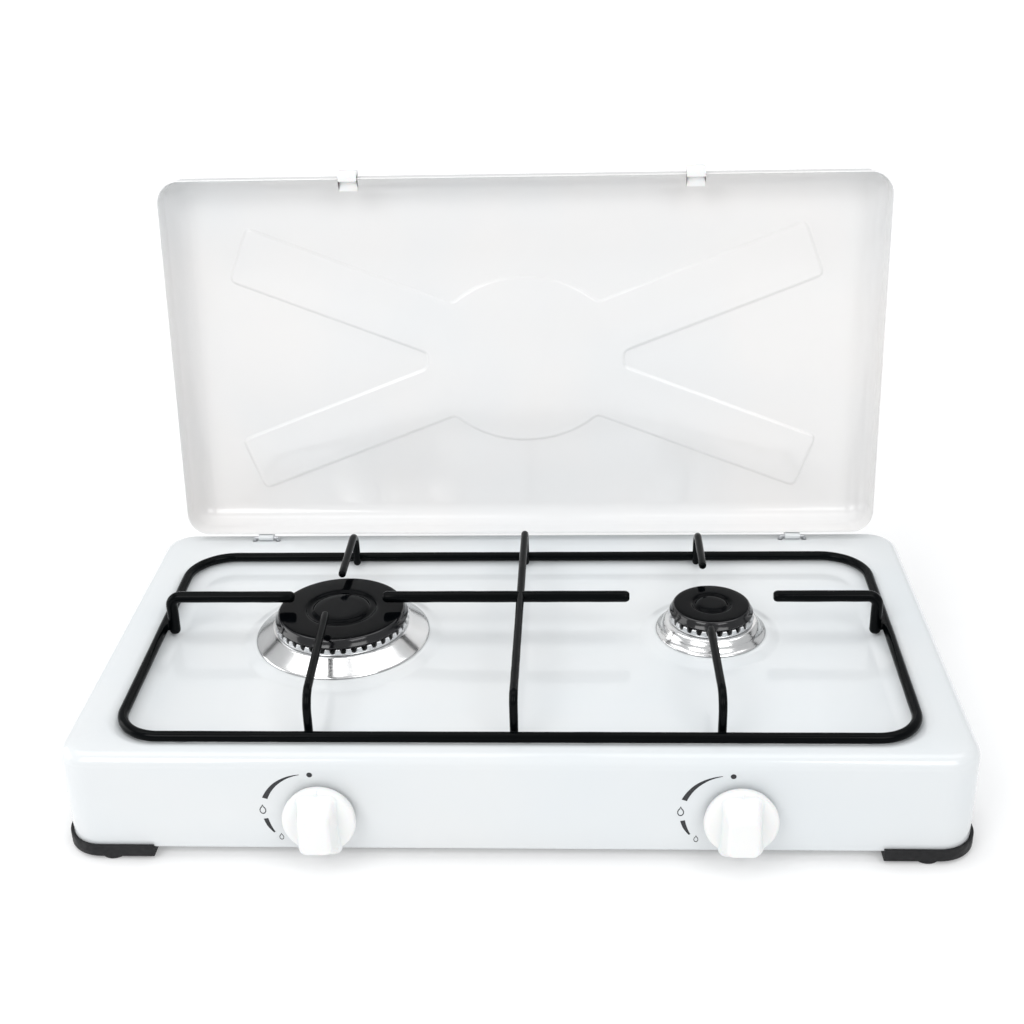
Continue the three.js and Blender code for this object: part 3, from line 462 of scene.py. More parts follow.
def rounded_path(points, bend, steps=10):
    """A polyline with its corners rounded: one radius for all, or one for each corner."""
    bends = bend if isinstance(bend, (list, tuple)) else [bend] * len(points)
    stations = [Vector(points[0])]
    for i in range(1, len(points) - 1):
        before, at, after = Vector(points[i - 1]), Vector(points[i]), Vector(points[i + 1])
        back, on = (before - at).normalized(), (after - at).normalized()
        half = back.angle(on) / 2
        centre = at + (back + on).normalized() * bends[i] / math.sin(half)
        reach = bends[i] / math.tan(half)
        start, end = at + back * reach - centre, at + on * reach - centre
        turn = start.angle(end)
        for s in range(steps + 1):
            t = s / steps
            a = math.sin((1 - t) * turn) / math.sin(turn)
            b = math.sin(t * turn) / math.sin(turn)
            stations.append(centre + start * a + end * b)
    stations.append(Vector(points[-1]))
    return stations


def divided(stations, longest):
    """Stations with long straight runs divided."""
    out = [stations[0]]
    for p, q in zip(stations, stations[1:]):
        n = max(1, math.ceil((q - p).length / longest))
        out += [p.lerp(q, k / n) for k in range(1, n + 1)]
    return out


def sweep(bm, stations, radius, sides=20, loop=False, lumps=0.0):
    """A round wire along stations, with rounded ends, or closed on itself."""
    count = len(stations)
    rings_made = []
    across = None
    spots = []
    if loop:
        spots = [(i, 0.0, 1.0) for i in range(count)]
    else:
        ends = [(0.0, 0.55), (0.18, 0.8), (0.5, 0.96), (0.75, 1.0)]
        spots += [(0, along * radius, share) for along, share in ends]
        spots += [(i, 0.0, 1.0) for i in range(1, count - 1)]
        spots += [(count - 1, -along * radius, share) for along, share in reversed(ends)]
    for i, along, share in spots:
        ahead = stations[(i + 1) % count] if loop or i < count - 1 else stations[i]
        behind = stations[i - 1] if loop or i > 0 else stations[i]
        way = ((ahead - stations[i]).normalized() + (stations[i] - behind).normalized()).normalized()
        if across is None:
            across = way.cross(Vector((0.31, 0.17, 0.93))).normalized()
        across = (across - way * across.dot(way)).normalized()
        other = way.cross(across)
        at = stations[i] + way * along
        loop_verts = []
        for k in range(sides):
            a = TAU * k / sides
            out = across * math.cos(a) + other * math.sin(a)
            swell = 1 + lumps * noise.noise((at + out * radius) * 0.11)
            loop_verts.append(bm.verts.new(place(*(at + out * radius * share * swell))))
        rings_made.append(loop_verts)
    bands(bm, rings_made)
    if loop:
        first, last = rings_made[0], rings_made[-1]
        shift = min(range(sides), key=lambda s: (first[s].co - last[0].co).length)
        band(bm, last, first[shift:] + first[:shift])
    else:
        bm.faces.new(rings_made[0])
        bm.faces.new(rings_made[-1])


# ---------- casing ----------


def casing_ring(inset, z):
    r = CORNER - inset
    x, y = HALF_WIDTH - inset, HALF_DEPTH - inset
    return plan_ring(-x, -y, x, y, r, r, z)


def well_ring(inset, z):
    front, rear = WELL_FRONT_CORNER - inset, WELL_REAR_CORNER - inset
    x = WELL_X - inset
    return plan_ring(-x, WELL_FRONT + inset, x, WELL_REAR - inset, front, rear, z)


def eased_ramp(t, start, end):
    """From 0 to 1, with a soft start and a softer end."""
    slope = 1 / (1 - start / 2 - end / 2)
    if t < start:
        return slope * t * t / (2 * start)
    if t > 1 - end:
        return 1 - slope * (1 - t) ** 2 / (2 * end)
    return slope * (t - start / 2)


def drill_profile(radius, start, end):
    return [(0, start), (radius, start), (radius, end), (0, end)]


def casing():
    bm = bmesh.new()
    sides = [(8, 7), (2.2, 7), (1.2, 7.06), (0.5, 7.35), (0.12, 7.85), (0, 8.6), (0, 24), (0, 42)]
    sides.append((0, RIM - EDGE))
    for k in range(1, 12):
        a = math.radians(82.8 * k / 11)
        sides.append((EDGE * (1 - math.cos(a)), RIM - EDGE + EDGE * math.sin(a)))
    sides[-1] = (7, RIM)
    loops = [ring_of(bm, casing_ring(i, z)) for i, z in sides]
    bands(bm, loops)
    steps = 18
    ramp = []
    for k in range(steps + 1):
        t = k / steps
        inset = -1.5 + t * (WELL_RUN + 3)
        ramp.append(ring_of(bm, well_ring(inset, RIM - (RIM - FLOOR) * eased_ramp(t, 0.14, 0.2))))
    bands(bm, ramp)
    holes = []
    for x in (-HINGE_X, HINGE_X):
        for leg in (-8, 8):
            top = ring_of(bm, circle(x + leg, HINGE_Y, 1.9, RIM, 20))
            lip = ring_of(bm, circle(x + leg, HINGE_Y, 1.75, RIM - 0.35, 20))
            holes.append(top)
            band(bm, top, lip)
    fill(bm, loops[-1], ramp[0], *holes)
    dishes = []
    for b in BURNERS.values():
        made = []
        for k in range(10):
            t = k / 9
            r = b["dish"] + 1 - t * 10
            z = FLOOR + (DISH - FLOOR) * eased_ramp(t, 0.3, 0.3)
            made.append(ring_of(bm, circle(b["x"], b["y"], r, z)))
        for r, z in ((b["cup"] + 1.4, DISH), (b["cup"] + 0.85, DISH - 0.15), (b["cup"] + 0.6, DISH - 0.6)):
            made.append(ring_of(bm, circle(b["x"], b["y"], r, z)))
        bands(bm, made)
        dishes.append(made[0])
    fill(bm, ramp[-1], *dishes)
    piece = finish_piece("casing_shell", bm, WHITE, "stove_base", ("casing",))
    thicken(piece, SHEET)
    cutter = bmesh.new()
    for b in BURNERS.values():
        for r, up in ((TAP_HOLE, 0), (SCREW_HOLE, -SCREW_SPREAD), (SCREW_HOLE, SCREW_SPREAD)):
            spot = facing_front(b["tap"], TAP_Z + up)
            lathe(cutter, drill_profile(r, -HALF_DEPTH - 8, -HALF_DEPTH + 8), spot, 24)
        for side in (-1, 1):
            spot = upright(b["x"] + side * (b["cup"] + 4.5), b["y"])
            lathe(cutter, drill_profile(SCREW_HOLE, 55, 70), spot, 16)
    profile = drill_profile(NOZZLE_HOLE, HALF_DEPTH - 8, HALF_DEPTH + 8)
    lathe(cutter, profile, facing_front(NOZZLE_X, NOZZLE_Z), 32)
    bmesh.ops.recalc_face_normals(cutter, faces=cutter.faces)
    mesh = bpy.data.meshes.new("hole_cutter")
    cutter.to_mesh(mesh)
    cutter.free()
    tool = bpy.data.objects.new("hole_cutter", mesh)
    bpy.context.scene.collection.objects.link(tool)
    drill = piece.modifiers.new("holes", "BOOLEAN")
    drill.object = tool
    drill.solver = "EXACT"
    apply_modifiers(piece)
    bpy.data.objects.remove(tool)


# ---------- feet ----------


def corner_foot(name, sx, sy):
    """A rubber strip round one lower corner of the casing, with a shelf under the hem and a round pad."""
    section = [
        (1.5, 2.2), (1.85, 2.35), (2.0, 2.8), (2.0, 5.5), (2.0, 8.8), (1.85, 9.35), (1.4, 9.6), (0.8, 9.6),
        (0.42, 9.45), (0.3, 9.1), (0.3, 7.2), (0.15, 6.8), (-0.3, 6.7), (-7, 6.7), (-13.4, 6.7), (-13.9, 6.4),
        (-14.0, 5.8), (-14.0, 3.0), (-13.85, 2.4), (-13.3, 2.2), (-6, 2.2),
    ]
    path = []
    for k in range(7):
        path.append((HALF_WIDTH - FOOT_REACH + k * (FOOT_REACH - CORNER) / 6, HALF_DEPTH, 0, 1))
    for k in range(1, 14):
        a = math.radians(90 - 90 * k / 14)
        c, s = math.cos(a), math.sin(a)
        path.append((HALF_WIDTH - CORNER + CORNER * c, HALF_DEPTH - CORNER + CORNER * s, c, s))
    for k in range(7):
        path.append((HALF_WIDTH, HALF_DEPTH - CORNER - k * (FOOT_REACH - CORNER) / 6, 1, 0))
    bm = bmesh.new()
    loops = []
    mid = (-3.5, 5.2)

    def section_ring(px, py, nx, ny, shrink, along):
        points = []
        for n, z in section:
            n = n + (mid[0] - n) * shrink
            z = z + (mid[1] - z) * shrink
            points.append((sx * (px + n * nx + along * ny), sy * (py + n * ny - along * nx), z))
        return ring_of(bm, points)

    loops.append(section_ring(*path[0], 0.06, 0.0))
    loops.append(section_ring(*path[0], 0.02, 0.12))
    loops.append(section_ring(*path[0], 0.0, 0.5))
    loops += [section_ring(*p, 0, 0) for p in path[1:-1]]
    loops.append(section_ring(*path[-1], 0.0, -0.5))
    loops.append(section_ring(*path[-1], 0.02, -0.12))
    loops.append(section_ring(*path[-1], 0.06, 0.0))
    bands(bm, loops)
    bm.faces.new(loops[0])
    bm.faces.new(loops[-1])
    pad = [(0, 0), (5.9, 0), (6.7, 0.12), (7.2, 0.5), (7.45, 1.2), (7.5, 2.1), (7.5, 3), (0, 3)]
    lathe(bm, pad, upright(sx * PAD_X, sy * PAD_Y), 48)
    finish_piece(name + "_rubber", bm, RUBBER, "stove_base", (name,))


# ---------- pan support ----------


def rod(name, points, radius, bend=ROD_BEND):
    bm = bmesh.new()
    stations = divided(rounded_path(points, bend), 9)
    sweep(bm, stations, radius, lumps=0.035)
    finish_piece(name + "_rod", bm, BLACK, "pan_support", (name,))


def pan_support():
    x, x_front, x_rear = RAIL_X, RAIL_X - 1.6, RAIL_X + 0.5
    corners = [
        (x, 0), (x_rear, RAIL_REAR), (-x_rear, RAIL_REAR),
        (-x_front, RAIL_FRONT), (x_front, RAIL_FRONT), (x, 0),
    ]
    path = rounded_path([(px, py, RAIL_Z) for px, py in corners], [0, 28, 28, 25, 25, 0], 16)
    bm = bmesh.new()
    sweep(bm, divided(path, 12)[:-1], RAIL, 24, loop=True, lumps=0.03)
    finish_piece("support_frame_wire", bm, BLACK, "pan_support", ("support_frame",))
    thin, thick = PAN - THIN, PAN - BAR
    points = [(0, LEG_FRONT, LEG_FOOT), (0, LEG_FRONT, thin), (0, LEG_REAR, thin), (0, LEG_REAR, LEG_FOOT)]
    rod("support_centre_bar", points, THIN)
    rod("support_cross_bar_left", [(1, CROSS_Y, thick), (-84, CROSS_Y, thick)], BAR)
    rod("support_cross_bar_right", [(-1, CROSS_Y, thick), (66, CROSS_Y, thick)], BAR)
    for name, side, tip in (("left", -1, 138.5), ("right", 1, 152.5)):
        leg = side * LEG_SIDE
        points = [(leg, CROSS_Y, SIDE_FOOT), (leg, CROSS_Y, thick), (side * tip, CROSS_Y, thick)]
        rod("support_side_finger_" + name, points, BAR)
    fingers = (
        ("support_front_finger_left", -FINGER_X, LEG_FRONT, -FINGER_X - 3, -19),
        ("support_front_finger_right", FINGER_X, LEG_FRONT, FINGER_X - 1, -36),
        ("support_rear_finger_left", -FINGER_X, LEG_REAR, -FINGER_X, 29),
        ("support_rear_finger_right", FINGER_X, LEG_REAR, FINGER_X, 39),
    )
    for name, fx, leg, tip_x, tip_y in fingers:
        rod(name, [(fx, leg, LEG_FOOT), (fx, leg, thin), (tip_x, tip_y, thin)], THIN, 11)
    welds()


def welds():
    """Enamelled weld beads where the legs meet the frame."""
    spots = [(0, LEG_FRONT - 2.3, 67.5, 2.1, 1.3, 2.2), (0, LEG_REAR + 2.3, 67.5, 2.1, 1.3, 2.2)]
    for fx in (-FINGER_X, FINGER_X):
        spots.append((fx, LEG_FRONT - 2.3, 67.5, 2.1, 1.3, 2.2))
        spots.append((fx, LEG_REAR + 2.3, 67.5, 2.1, 1.3, 2.2))
    for side in (-1, 1):
        spots.append((side * (LEG_SIDE + 3.6), CROSS_Y, 67.6, 1.4, 2.8, 2.3))
    bm = bmesh.new()
    for cx, cy, cz, rx, ry, rz in spots:
        loops = []
        for k in range(1, 9):
            b = math.pi * k / 9
            points = []
            for i in range(16):
                a = TAU * i / 16
                swell = 1 + 0.18 * noise.noise(Vector((cx + i, cy + k, cz)) * 0.7)
                points.append((
                    cx + rx * swell * math.sin(b) * math.cos(a),
                    cy + ry * swell * math.sin(b) * math.sin(a),
                    cz + rz * math.cos(b),
                ))
            loops.append(ring_of(bm, points))
        bands(bm, loops)
        bm.faces.new(loops[0])
        bm.faces.new(loops[-1])
    finish_piece("support_welds", bm, BLACK, "pan_support", sharp=80)


# ---------- burners ----------


def burner_cap(side, b):
    r, g = b["cap"], b["groove"]
    spigot = b["cup"] - CUP_GAP - CROWN_WALL - 0.6
    half = b["groove_half"]
    profile = [
        (0, CAP_TOP + 0.4), (0.3 * g, CAP_TOP + 0.39), (0.6 * g, CAP_TOP + 0.36),
        (g - half - 1.4, CAP_TOP + 0.26),
        (g - half - 0.5, CAP_TOP), (g - half + 0.3, CAP_TOP - 0.7), (g - half + 0.9, CAP_TOP - 1.2),
        (g, CAP_TOP - 1.4),
        (g + half - 0.9, CAP_TOP - 1.2), (g + half - 0.3, CAP_TOP - 0.7), (g + half + 0.4, CAP_TOP - 0.12),
        (g + half + 1.4, CAP_TOP - 0.01), (g + half + 3, CAP_TOP), (0.5 * (g + half + r), CAP_TOP - 0.02),
        (r - 3, CAP_TOP - 0.08), (r - 1.5, CAP_TOP - 0.18), (r - 0.6, CAP_TOP - 0.4), (r, CAP_TOP - 0.8),
        (r + 0.35, CAP_TOP - 1.3), (r + 0.8, CAP_TOP - 2.3), (r + 1.4, CAP_TOP - 3.5),
        (r + 2.1, CAP_LOW + 0.9),
        (r + CAP_FLARE - 0.1, CAP_LOW + 0.5), (r + CAP_FLARE, CAP_LOW + 0.25), (r + CAP_FLARE - 0.3, CAP_LOW),
        (r, CAP_LOW), (spigot + 0.3, CAP_LOW), (spigot, CAP_LOW - 0.2), (spigot, CAP_LOW - 2.7),
        (spigot - 0.3, CAP_LOW - 3), (spigot - 1.2, CAP_LOW - 3), (spigot - 1.5, CAP_LOW - 2.7),
        (spigot - 1.5, CAP_LOW), (0, CAP_LOW),
    ]
    bm = bmesh.new()
    lathe(bm, profile, upright(b["x"], b["y"]), 144)
    body = "burner_cap_" + side
    piece = finish_piece("cap_" + side, bm, CAP_TOP_DIMMED, body, (body,), 60)
    piece.data.materials.append(CAP_FLANK_SHEEN)
    middle = place(b["x"], b["y"], 0)
    # Faces past the top's edge take the flank copy: painted sheen on the flank against painted shade on the
    # top, both one enamel on the real cap.
    for poly in piece.data.polygons:
        out = math.hypot(poly.center.x - middle.x, poly.center.y - middle.y)
        if out > (r - 0.5) * MM:
            poly.material_index = 1


def burner_crown(side, b):
    """The crown: a ring with rounded teeth round its upper edge and gas ports between them."""
    bore = b["cup"] - CUP_GAP - CROWN_WALL
    hub = bore + CROWN_WALL
    out = b["cap"] + CAP_FLARE + CROWN_PROUD
    root = b["cap"] - 4
    tooth = [
        (bore, CROWN_LOW - 6), (hub, CROWN_LOW - 6), (hub, CROWN_LOW), (out - 1.2, CROWN_LOW),
        (out - 0.35, CROWN_LOW + 0.35), (out, CROWN_LOW + 1.2), (out, CROWN_SLOT), (out, CROWN_SLOT + 1.4),
        (out - 0.15, CROWN_TOP - 0.6), (out - 0.8, CROWN_TOP - 0.1), (out - 1.6, CROWN_TOP),
        (root, CROWN_TOP),
        (root - 1, CROWN_TOP), (bore, CROWN_TOP),
    ]
    slot = list(tooth)
    slot[7] = (out - 0.15, CROWN_SLOT + 0.05)
    slot[8] = (out - 0.6, CROWN_SLOT + 0.1)
    slot[9] = (out - 1.3, CROWN_SLOT + 0.1)
    slot[10] = (out - 2.2, CROWN_SLOT + 0.1)
    slot[11] = (root, CROWN_SLOT + 0.1)
    shares = [
        (0.0, 0), (0.14, 0), (0.2, 0.12), (0.25, 0.8), (0.3, 1), (0.5, 1), (0.7, 1), (0.75, 0.8), (0.8, 0.12),
        (0.86, 0),
    ]
    bm = bmesh.new()
    columns = []
    for n in range(b["teeth"]):
        for share, up in shares:
            a = TAU * (n + share) / b["teeth"]
            points = []
            for (r0, z0), (r1, z1) in zip(slot, tooth):
                r, z = r0 + (r1 - r0) * up, z0 + (z1 - z0) * up
                points.append((b["x"] + r * math.cos(a), b["y"] + r * math.sin(a), z))
            columns.append(ring_of(bm, points))
    for i, column in enumerate(columns):
        band(bm, column, columns[(i + 1) % len(columns)])
    replaced = ("burner_crown_" + side,)
    finish_piece("crown_" + side, bm, CAST[side], "stove_base", replaced, 40)


def burner_skirt(side, b):
    top = b["cap"] + CAP_FLARE + CROWN_PROUD + 0.9
    low_z, high_z = DISH + 0.3, SKIRT_HIGH
    inner = b["cup"] + 1
    s = b["skirt"]
    profile = [
        (s - 1.3, low_z), (s - 0.35, low_z), (s, low_z + 0.18), (s - 0.08, low_z + 0.55),
        (s - 0.9, low_z + 1.15),
        (s - 3, low_z + 2.55), (0.5 * (s + top), 0.5 * (low_z + high_z) + 0.2), (top + 1.2, high_z - 0.75),
        (top + 0.4, high_z - 0.22), (top - 0.3, high_z), (inner, high_z), (inner, high_z - 0.8),
        (top - 0.6, high_z - 0.8), (0.5 * (s + top) - 0.8, 0.5 * (low_z + high_z) - 0.5),
    ]
    bm = bmesh.new()
    lathe(bm, profile, upright(b["x"], b["y"]), 144, closed=True)
    replaced = ("burner_skirt_" + side,)
    finish_piece("cone_" + side, bm, POLISHED[side], "stove_base", replaced, 50)


# ---------- knobs ----------


def knob(side, b):
    bm = bmesh.new()
    x = b["tap"]
    disc = [
        (0, -142.2), (15.6, -142.2), (16.6, -141.8), (16.9, -141), (17.2, -137.4), (17.5, -136.8),
        (18.1, -136.6), (18.7, -136.7), (19.0, -137.1), (19.4, -138.6), (19.85, -139.9), (20.0, -140.8),
        (20.0, -142.2), (19.85, -143.1), (19.4, -143.8), (18.6, -144.3), (17.2, -144.6), (14, -144.8),
        (8, -144.95), (0, -145),
    ]
    lathe(bm, disc, facing_front(x, TAP_Z), 96)
    hub = [(3.4, -136.7), (5.6, -136.7), (6, -137), (6, -142.3), (3.4, -142.3)]
    lathe(bm, hub, facing_front(x, TAP_Z), 40, closed=True)

    def outline(grow, depth, share):
        """The grip's section at a depth in front of the disc; share runs from its root to its front."""
        w = 9.9 - 1.1 * share + grow
        bottom = -18.6 + 7.4 * share - grow
        top = 17.2 - 4.2 * share + grow
        corner = max(1.5, 4.2 + 0.8 * grow)
        points = []
        for px, pz, _ in plan_ring(-w, bottom, w, top, corner, corner, 0, 8, 3, 8):
            bell = 1.03 - 0.05 * (pz - bottom) / (top - bottom)
            points.append((x + px * bell, -144.4 - depth, TAP_Z + pz))
        return points

    loops = []
    for k in range(7):
        a = math.radians(90 * k / 6)
        loops.append(ring_of(bm, outline(2.0 * (1 - math.sin(a)), 2.0 * (1 - math.cos(a)), 0)))
    for k in range(1, 8):
        share = k / 8
        loops.append(ring_of(bm, outline(0, 2.0 + 9.2 * share, share)))
    for k in range(0, 8):
        a = math.radians(90 * k / 7)
        loops.append(ring_of(bm, outline(-2.6 * (1 - math.cos(a)), 11.2 + 2.8 * math.sin(a), 1)))
    bands(bm, loops)
    bm.faces.new(loops[0])
    bm.faces.new(loops[-1])
    nib = []
    stops = (
        (0, 0.1, 0), (0.05, 0.75, 0.35), (0.12, 0.95, 0.7), (0.6, 0.9, 0.75), (0.93, 0.8, 0.7), (1, 0.5, 0.3),
    )
    for t, w, h in stops:
        z = TAP_Z + 14 + 6.4 * t
        y = -144.2 if t < 0.9 else -143.6
        points = [
            (x - w, y + 1, z), (x + w, y + 1, z), (x + w, y - h * 0.7, z), (x + 0.6 * w, y - h, z),
            (x - 0.6 * w, y - h, z), (x - w, y - h * 0.7, z),
        ]
        nib.append(ring_of(bm, points))
    bands(bm, nib)
    bm.faces.new(nib[0])
    bm.faces.new(nib[-1])
    finish_piece("knob_body_" + side, bm, PLASTIC, "knob_" + side, ("knob_" + side,), 50)


# ---------- printed dial marks ----------


def ink_strip(bm, points, y):
    """A closed flat figure of ink, a hair thick."""
    front = [bm.verts.new(place(px, y, pz)) for px, pz in points]
    back = [bm.verts.new(place(px, y + 0.05, pz)) for px, pz in points]
    band(bm, front, back)
    bm.faces.new(front)
    bm.faces.new(list(reversed(back)))


def swept_mark(bm, cx, cz, stops, y):
    """An arc of ink whose radius and width follow stops of (angle, radius, width)."""
    outer, inner = [], []
    for (a0, r0, w0), (a1, r1, w1) in zip(stops, stops[1:]):
        for k in range(9):
            t = k / 8
            a = math.radians(a0 + (a1 - a0) * t)
            r, w = r0 + (r1 - r0) * t, w0 + (w1 - w0) * t
            outer.append((cx + (r + w / 2) * math.cos(a), cz + (r + w / 2) * math.sin(a)))
            inner.append((cx + (r - w / 2) * math.cos(a), cz + (r - w / 2) * math.sin(a)))
    quads = len(outer) - 1
    for i in range(quads):
        if (Vector(outer[i]) - Vector(outer[i + 1])).length < 1e-4:
            continue
        ink_strip(bm, [outer[i], outer[i + 1], inner[i + 1], inner[i]], y)


def flame(bm, cx, cz, size, y):
    """A small outlined flame."""
    half = [(0, 1.0), (0.16, 0.62), (0.42, 0.3), (0.55, -0.1), (0.5, -0.5), (0.28, -0.82), (0, -0.92)]
    shape = half + [(-u, v) for u, v in reversed(half[1:-1])]
    count = len(shape)
    for i in range(count):
        (u0, v0), (u1, v1) = shape[i], shape[(i + 1) % count]
        k = 0.72
        corners = [(u0, v0), (u1, v1), (u1 * k, v1 * k - 0.06), (u0 * k, v0 * k - 0.06)]
        ink_strip(bm, [(cx + size * u, cz + size * v) for u, v in corners], y)


def dial_print(side, b):
    bm = bmesh.new()
    cx, cz = b["tap"] - 4.4, TAP_Z
    y = -HALF_DEPTH - 0.06
    dot = [(px, pz) for px, pz, _ in circle(cx, cz + 24.4, 1.55, 0, 24)]
    ink_strip(bm, dot, y)
    swept_mark(bm, cx, cz, [(103, 25.1, 0.3), (118, 25.7, 1.1), (138, 26.5, 2.2), (161, 27.1, 3.0)], y)
    swept_mark(bm, cx, cz, [(190, 26.6, 2.6), (200, 26.5, 2.2), (212, 26.2, 1.0)], y)
    flame(bm, cx - 27.4, cz + 1.5, 3.4, y)
    flame(bm, cx - 18.7, cz - 16.8, 2.4, y)
    finish_piece("dial_marks_" + side, bm, INK, "stove_base", sharp=30)


# ---------- lid ----------


def relief_outline():
    """The embossed figure's edge about its centre: an oval with four arms, its corners softened."""
    arms = [math.radians(a) for a in (21, -21, 159, 201)]

    def reach(angle):
        best = 1 / math.hypot(math.cos(angle) / 66, math.sin(angle) / 56)
        for arm in arms:
            turn = angle - arm
            along, across = math.cos(turn), abs(math.sin(turn))
            if along > 0.2:
                best = max(best, min(203 / along, 18.5 / max(across, 1e-6)))
        return best

    dense = []
    for i in range(7200):
        a = TAU * i / 7200
        r = reach(a)
        dense.append(Vector((r * math.cos(a), r * math.sin(a))))
    even = []
    total = 0.0
    previous = dense[-1]
    for p in dense:
        gap = (p - previous).length
        count = int((total + gap) / 0.5) - int(total / 0.5)
        for k in range(count):
            even.append(previous.lerp(p, (k + 1) / (count + 1)))
        total += gap
        previous = p
    width = 9
    for _ in range(3):
        n = len(even)
        half = width // 2
        reach_on = range(-half, half + 1)
        even = [sum((even[(i + k) % n] for k in reach_on), Vector((0, 0))) / width for i in range(n)]
    return even[::5]


def lid_panel():
    bm = bmesh.new()

    def lid_ring(inset, z):
        r = LID_CORNER - inset
        return plan_ring(-LID_HALF + inset, LID_FRONT + inset, LID_HALF - inset, LID_REAR - inset, r, r, z)

    sides = [(0.5, LID_LOW), (0.12, LID_LOW + 0.12), (0, LID_LOW + 0.6), (0, LID_LOW + 5), (0, LID_LOW + 9)]
    sides.append((0, LID_TOP - LID_EDGE))
    for k in range(1, 15):
        a = math.radians(90 * k / 14)
        sides.append((LID_EDGE * (1 - math.cos(a)), LID_TOP - LID_EDGE + LID_EDGE * math.sin(a)))
    loops = [ring_of(bm, lid_ring(i, z), open_lid) for i, z in sides]
    bands(bm, loops)
    outline = relief_outline()
    count = len(outline)
    cy = LID_REAR - 0.48 * (LID_REAR - LID_FRONT)
    steps = 6
    slopes = []
    for k in range(steps + 1):
        t = k / steps
        offset = 1.3 - 2.6 * t
        depth = RELIEF * eased_ramp(t, 0.35, 0.35)
        points = []
        for i, p in enumerate(outline):
            way = (outline[(i + 1) % count] - outline[i - 1]).normalized()
            q = p + Vector((way.y, -way.x)) * offset
            points.append((q.x, cy + q.y, LID_TOP - depth))
        slopes.append(ring_of(bm, points, open_lid))
    bands(bm, slopes)
    fill(bm, loops[-1], slopes[0])
    fill(bm, slopes[-1])
    piece = finish_piece("lid_shell", bm, LID_WHITE_LIT, "lid", ("lid_panel",), 40)
    thicken(piece, LID_SHEET)
    apply_modifiers(piece, 40)


def lid_clip(side, x):
    """A buffer on the lid's front edge."""
    edge = LID_FRONT
    inner = edge + LID_SHEET
    low_z, jaw, heel = LID_LOW - 1.2, RAIL_Z + RAIL + 0.6, RAIL_FRONT + 1.8
    profile = [
        (edge - 4.8, low_z), (inner + 1.2, low_z), (inner + 1.2, jaw), (heel, jaw), (heel, jaw + 3.6),
        (inner + 0.3, jaw + 3.6), (inner + 0.3, LID_LOW - 0.3), (edge - 0.3, LID_LOW - 0.3),
        (edge - 0.3, jaw + 4.6), (edge - 4.8, jaw + 4.6),
    ]
    bm = bmesh.new()
    ends = [ring_of(bm, [(x + w, y, z) for y, z in profile], open_lid) for w in (-6, 6)]
    band(bm, *ends)
    bm.faces.new(ends[0])
    bm.faces.new(ends[1])
    name = "lid_clip_" + side
    piece = finish_piece(name + "_moulding", bm, PLASTIC, "lid", (name,))
    soften(piece, 0.55, 3)


def soften(piece, width, segments=2):
    """Rounded edges on a moulded or cast piece."""
    edge = piece.modifiers.new("edges", "BEVEL")
    edge.width = width * MM
    edge.segments = segments
    edge.limit_method = "ANGLE"
    edge.angle_limit = math.radians(30)
    edge.use_clamp_overlap = True
    apply_modifiers(piece, 40)


def hinge_wire(side, x):
    under = RIM - SHEET - 0.3 - HINGE_WIRE
    points = [
        (x - 13, HINGE_Y, under), (x - 8, HINGE_Y, under), (x - 8, HINGE_Y, HINGE_Z),
        (x + 8, HINGE_Y, HINGE_Z), (x + 8, HINGE_Y, under), (x + 13, HINGE_Y, under),
    ]
    bm = bmesh.new()
    sweep(bm, divided(rounded_path(points, 1.4, 8), 3), HINGE_WIRE, 16)
    name = "hinge_wire_" + side
    finish_piece(name + "_bent", bm, STEEL, "stove_base", (name,))


# ---------- build ----------


def dress_cad_nodes():
    """The carried-over solids get smooth faces, true edges and their slot's material."""
    slots = {s["node"]: s["material_slot"] for s in frame["record"]["subparts"]}
    for name, obj in frame["nodes"].items():
        mesh = obj.data
        if "custom_normal" in mesh.attributes:
            mesh.attributes.remove(mesh.attributes["custom_normal"])
        for poly in mesh.polygons:
            poly.use_smooth = True
        mesh.set_sharp_from_angle(angle=math.radians(32))
        side = "left" if name.rstrip("_12").endswith("left") else "right"
        material = SLOTS.get(slots[name])
        if slots[name] == "cast_aluminium":
            material = CAST[side]
        if slots[name] == "polished_cone":
            material = POLISHED[side]
        mesh.materials.clear()
        mesh.materials.append(material)


dress_cad_nodes()
casing()
for end, sy in (("front", -1), ("rear", 1)):
    for side, sx in (("left", -1), ("right", 1)):
        corner_foot("corner_foot_" + end + "_" + side, sx, sy)
pan_support()
for side, b in BURNERS.items():
    burner_cap(side, b)
    burner_crown(side, b)
    burner_skirt(side, b)
    knob(side, b)
    dial_print(side, b)
lid_panel()
for side, sign in (("left", -1), ("right", 1)):
    lid_clip(side, sign * CLIP_X)
    hinge_wire(side, sign * HINGE_X)


# ---------- floor, light and camera ----------


def floor():
    bm = bmesh.new()
    size = 8.0
    verts = [bm.verts.new((x * size, y * size, 0)) for x, y in ((-1, -1), (1, -1), (1, 1), (-1, 1))]
    bm.faces.new(verts)
    mesh = bpy.data.meshes.new("floor")
    bm.to_mesh(mesh)
    bm.free()
    mat, tree, shader = new_material("pale_floor", (0.8, 0.8, 0.8), 0.9, Specular_IOR_Level=0.1)
    shader.inputs["Emission Color"].default_value = (1, 1, 1, 1)
    coords = tree.nodes.new("ShaderNodeTexCoord")
    split = tree.nodes.new("ShaderNodeSeparateXYZ")
    tree.links.new(coords.outputs["Object"], split.inputs["Vector"])
    tree.links.new(spread(tree, split.outputs["Y"], 0.2, 0.95, 0.2, 2.2), shader.inputs["Emission Strength"])
    mesh.materials.append(mat)
    obj = bpy.data.objects.new("floor", mesh)
    bpy.context.scene.collection.objects.link(obj)


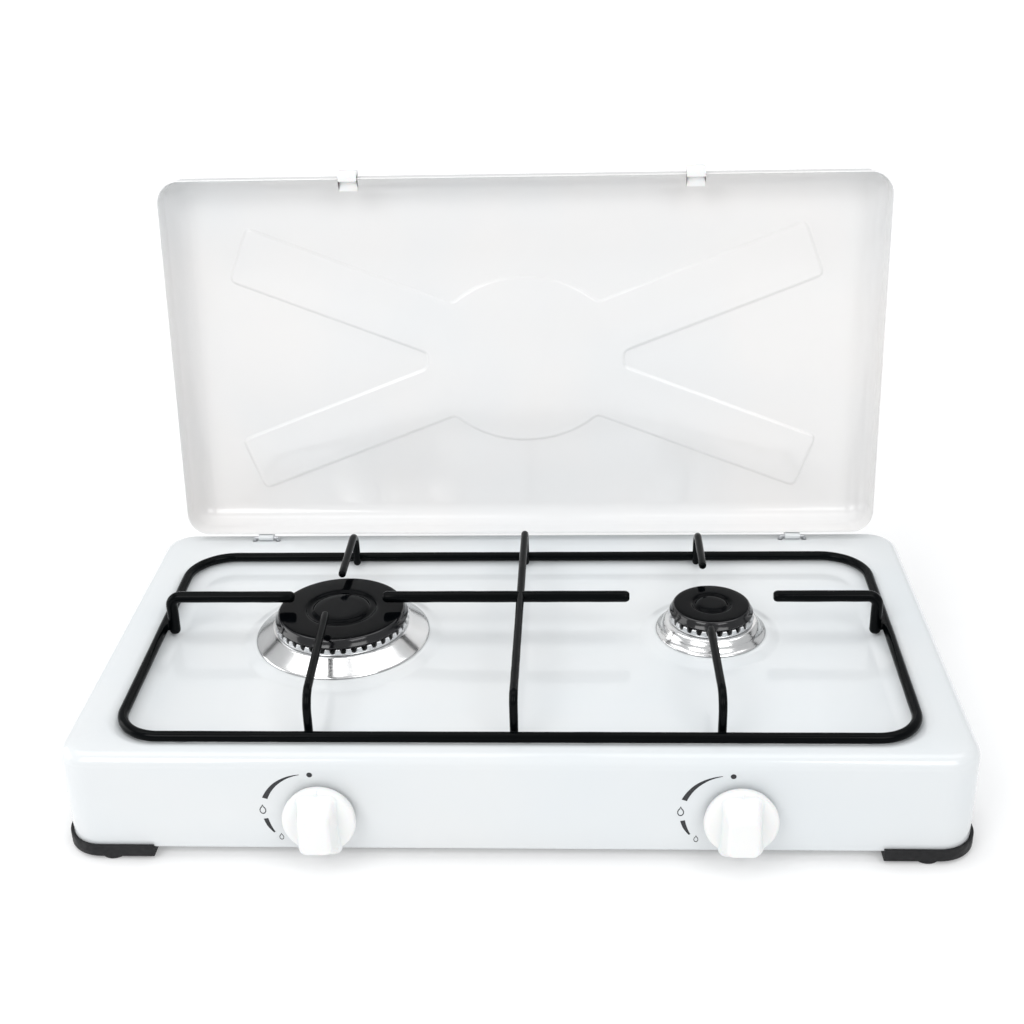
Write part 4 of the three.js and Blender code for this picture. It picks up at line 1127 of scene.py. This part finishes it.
def area_light(name, at, aim, size, power):
    data = bpy.data.lights.new(name, "AREA")
    data.shape = "RECTANGLE"
    data.size, data.size_y = size
    data.energy = power
    lamp = bpy.data.objects.new(name, data)
    bpy.context.scene.collection.objects.link(lamp)
    lamp.location = at
    lamp.rotation_euler = (Vector(aim) - Vector(at)).to_track_quat("-Z", "Y").to_euler()
    lamp.visible_camera = False


def studio():
    world = bpy.data.worlds.new("studio")
    world.use_nodes = True
    background = world.node_tree.nodes["Background"]
    background.inputs["Color"].default_value = (0.97, 0.985, 1, 1)
    background.inputs["Strength"].default_value = 0.6
    bpy.context.scene.world = world
    area_light("overhead_left", (-0.62, 0.05, 1.5), (-0.2, 0, 0), (0.8, 1.2), 5)
    area_light("overhead_right", (0.62, 0.05, 1.5), (0.2, 0, 0), (0.75, 1.2), 4)
    area_light("front_left", (-0.9, -1.4, 1.4), (0, 0, 0.1), (0.9, 1.0), 11)
    area_light("front_right", (0.9, -1.4, 1.4), (0, 0, 0.1), (0.9, 1.0), 9)
    area_light("left_side", (-1.7, 0.1, 0.5), (0, 0, 0.1), (1.2, 0.8), 6)


def camera():
    yaw, pitch, roll = math.radians(-2.978), math.radians(26.056), math.radians(-1.553)
    ahead = Vector((math.sin(yaw) * math.cos(pitch), math.cos(yaw) * math.cos(pitch), -math.sin(pitch)))
    right = Vector((math.cos(yaw), -math.sin(yaw), 0))
    up = right.cross(ahead)
    right2 = right * math.cos(roll) + up * math.sin(roll)
    up2 = up * math.cos(roll) - right * math.sin(roll)
    data = bpy.data.cameras.new("camera")
    data.sensor_fit = "HORIZONTAL"
    data.sensor_width = 36
    data.lens = 51.87
    data.clip_start = 0.01
    cam = bpy.data.objects.new("camera", data)
    bpy.context.scene.collection.objects.link(cam)
    turn = Matrix((right2, up2, -ahead)).transposed()
    cam.matrix_world = Matrix.Translation(place(36.89, -777.98, 528.31)) @ turn.to_4x4()
    bpy.context.scene.camera = cam


floor()
studio()
camera()
bpy.context.scene.view_settings.view_transform = "Standard"
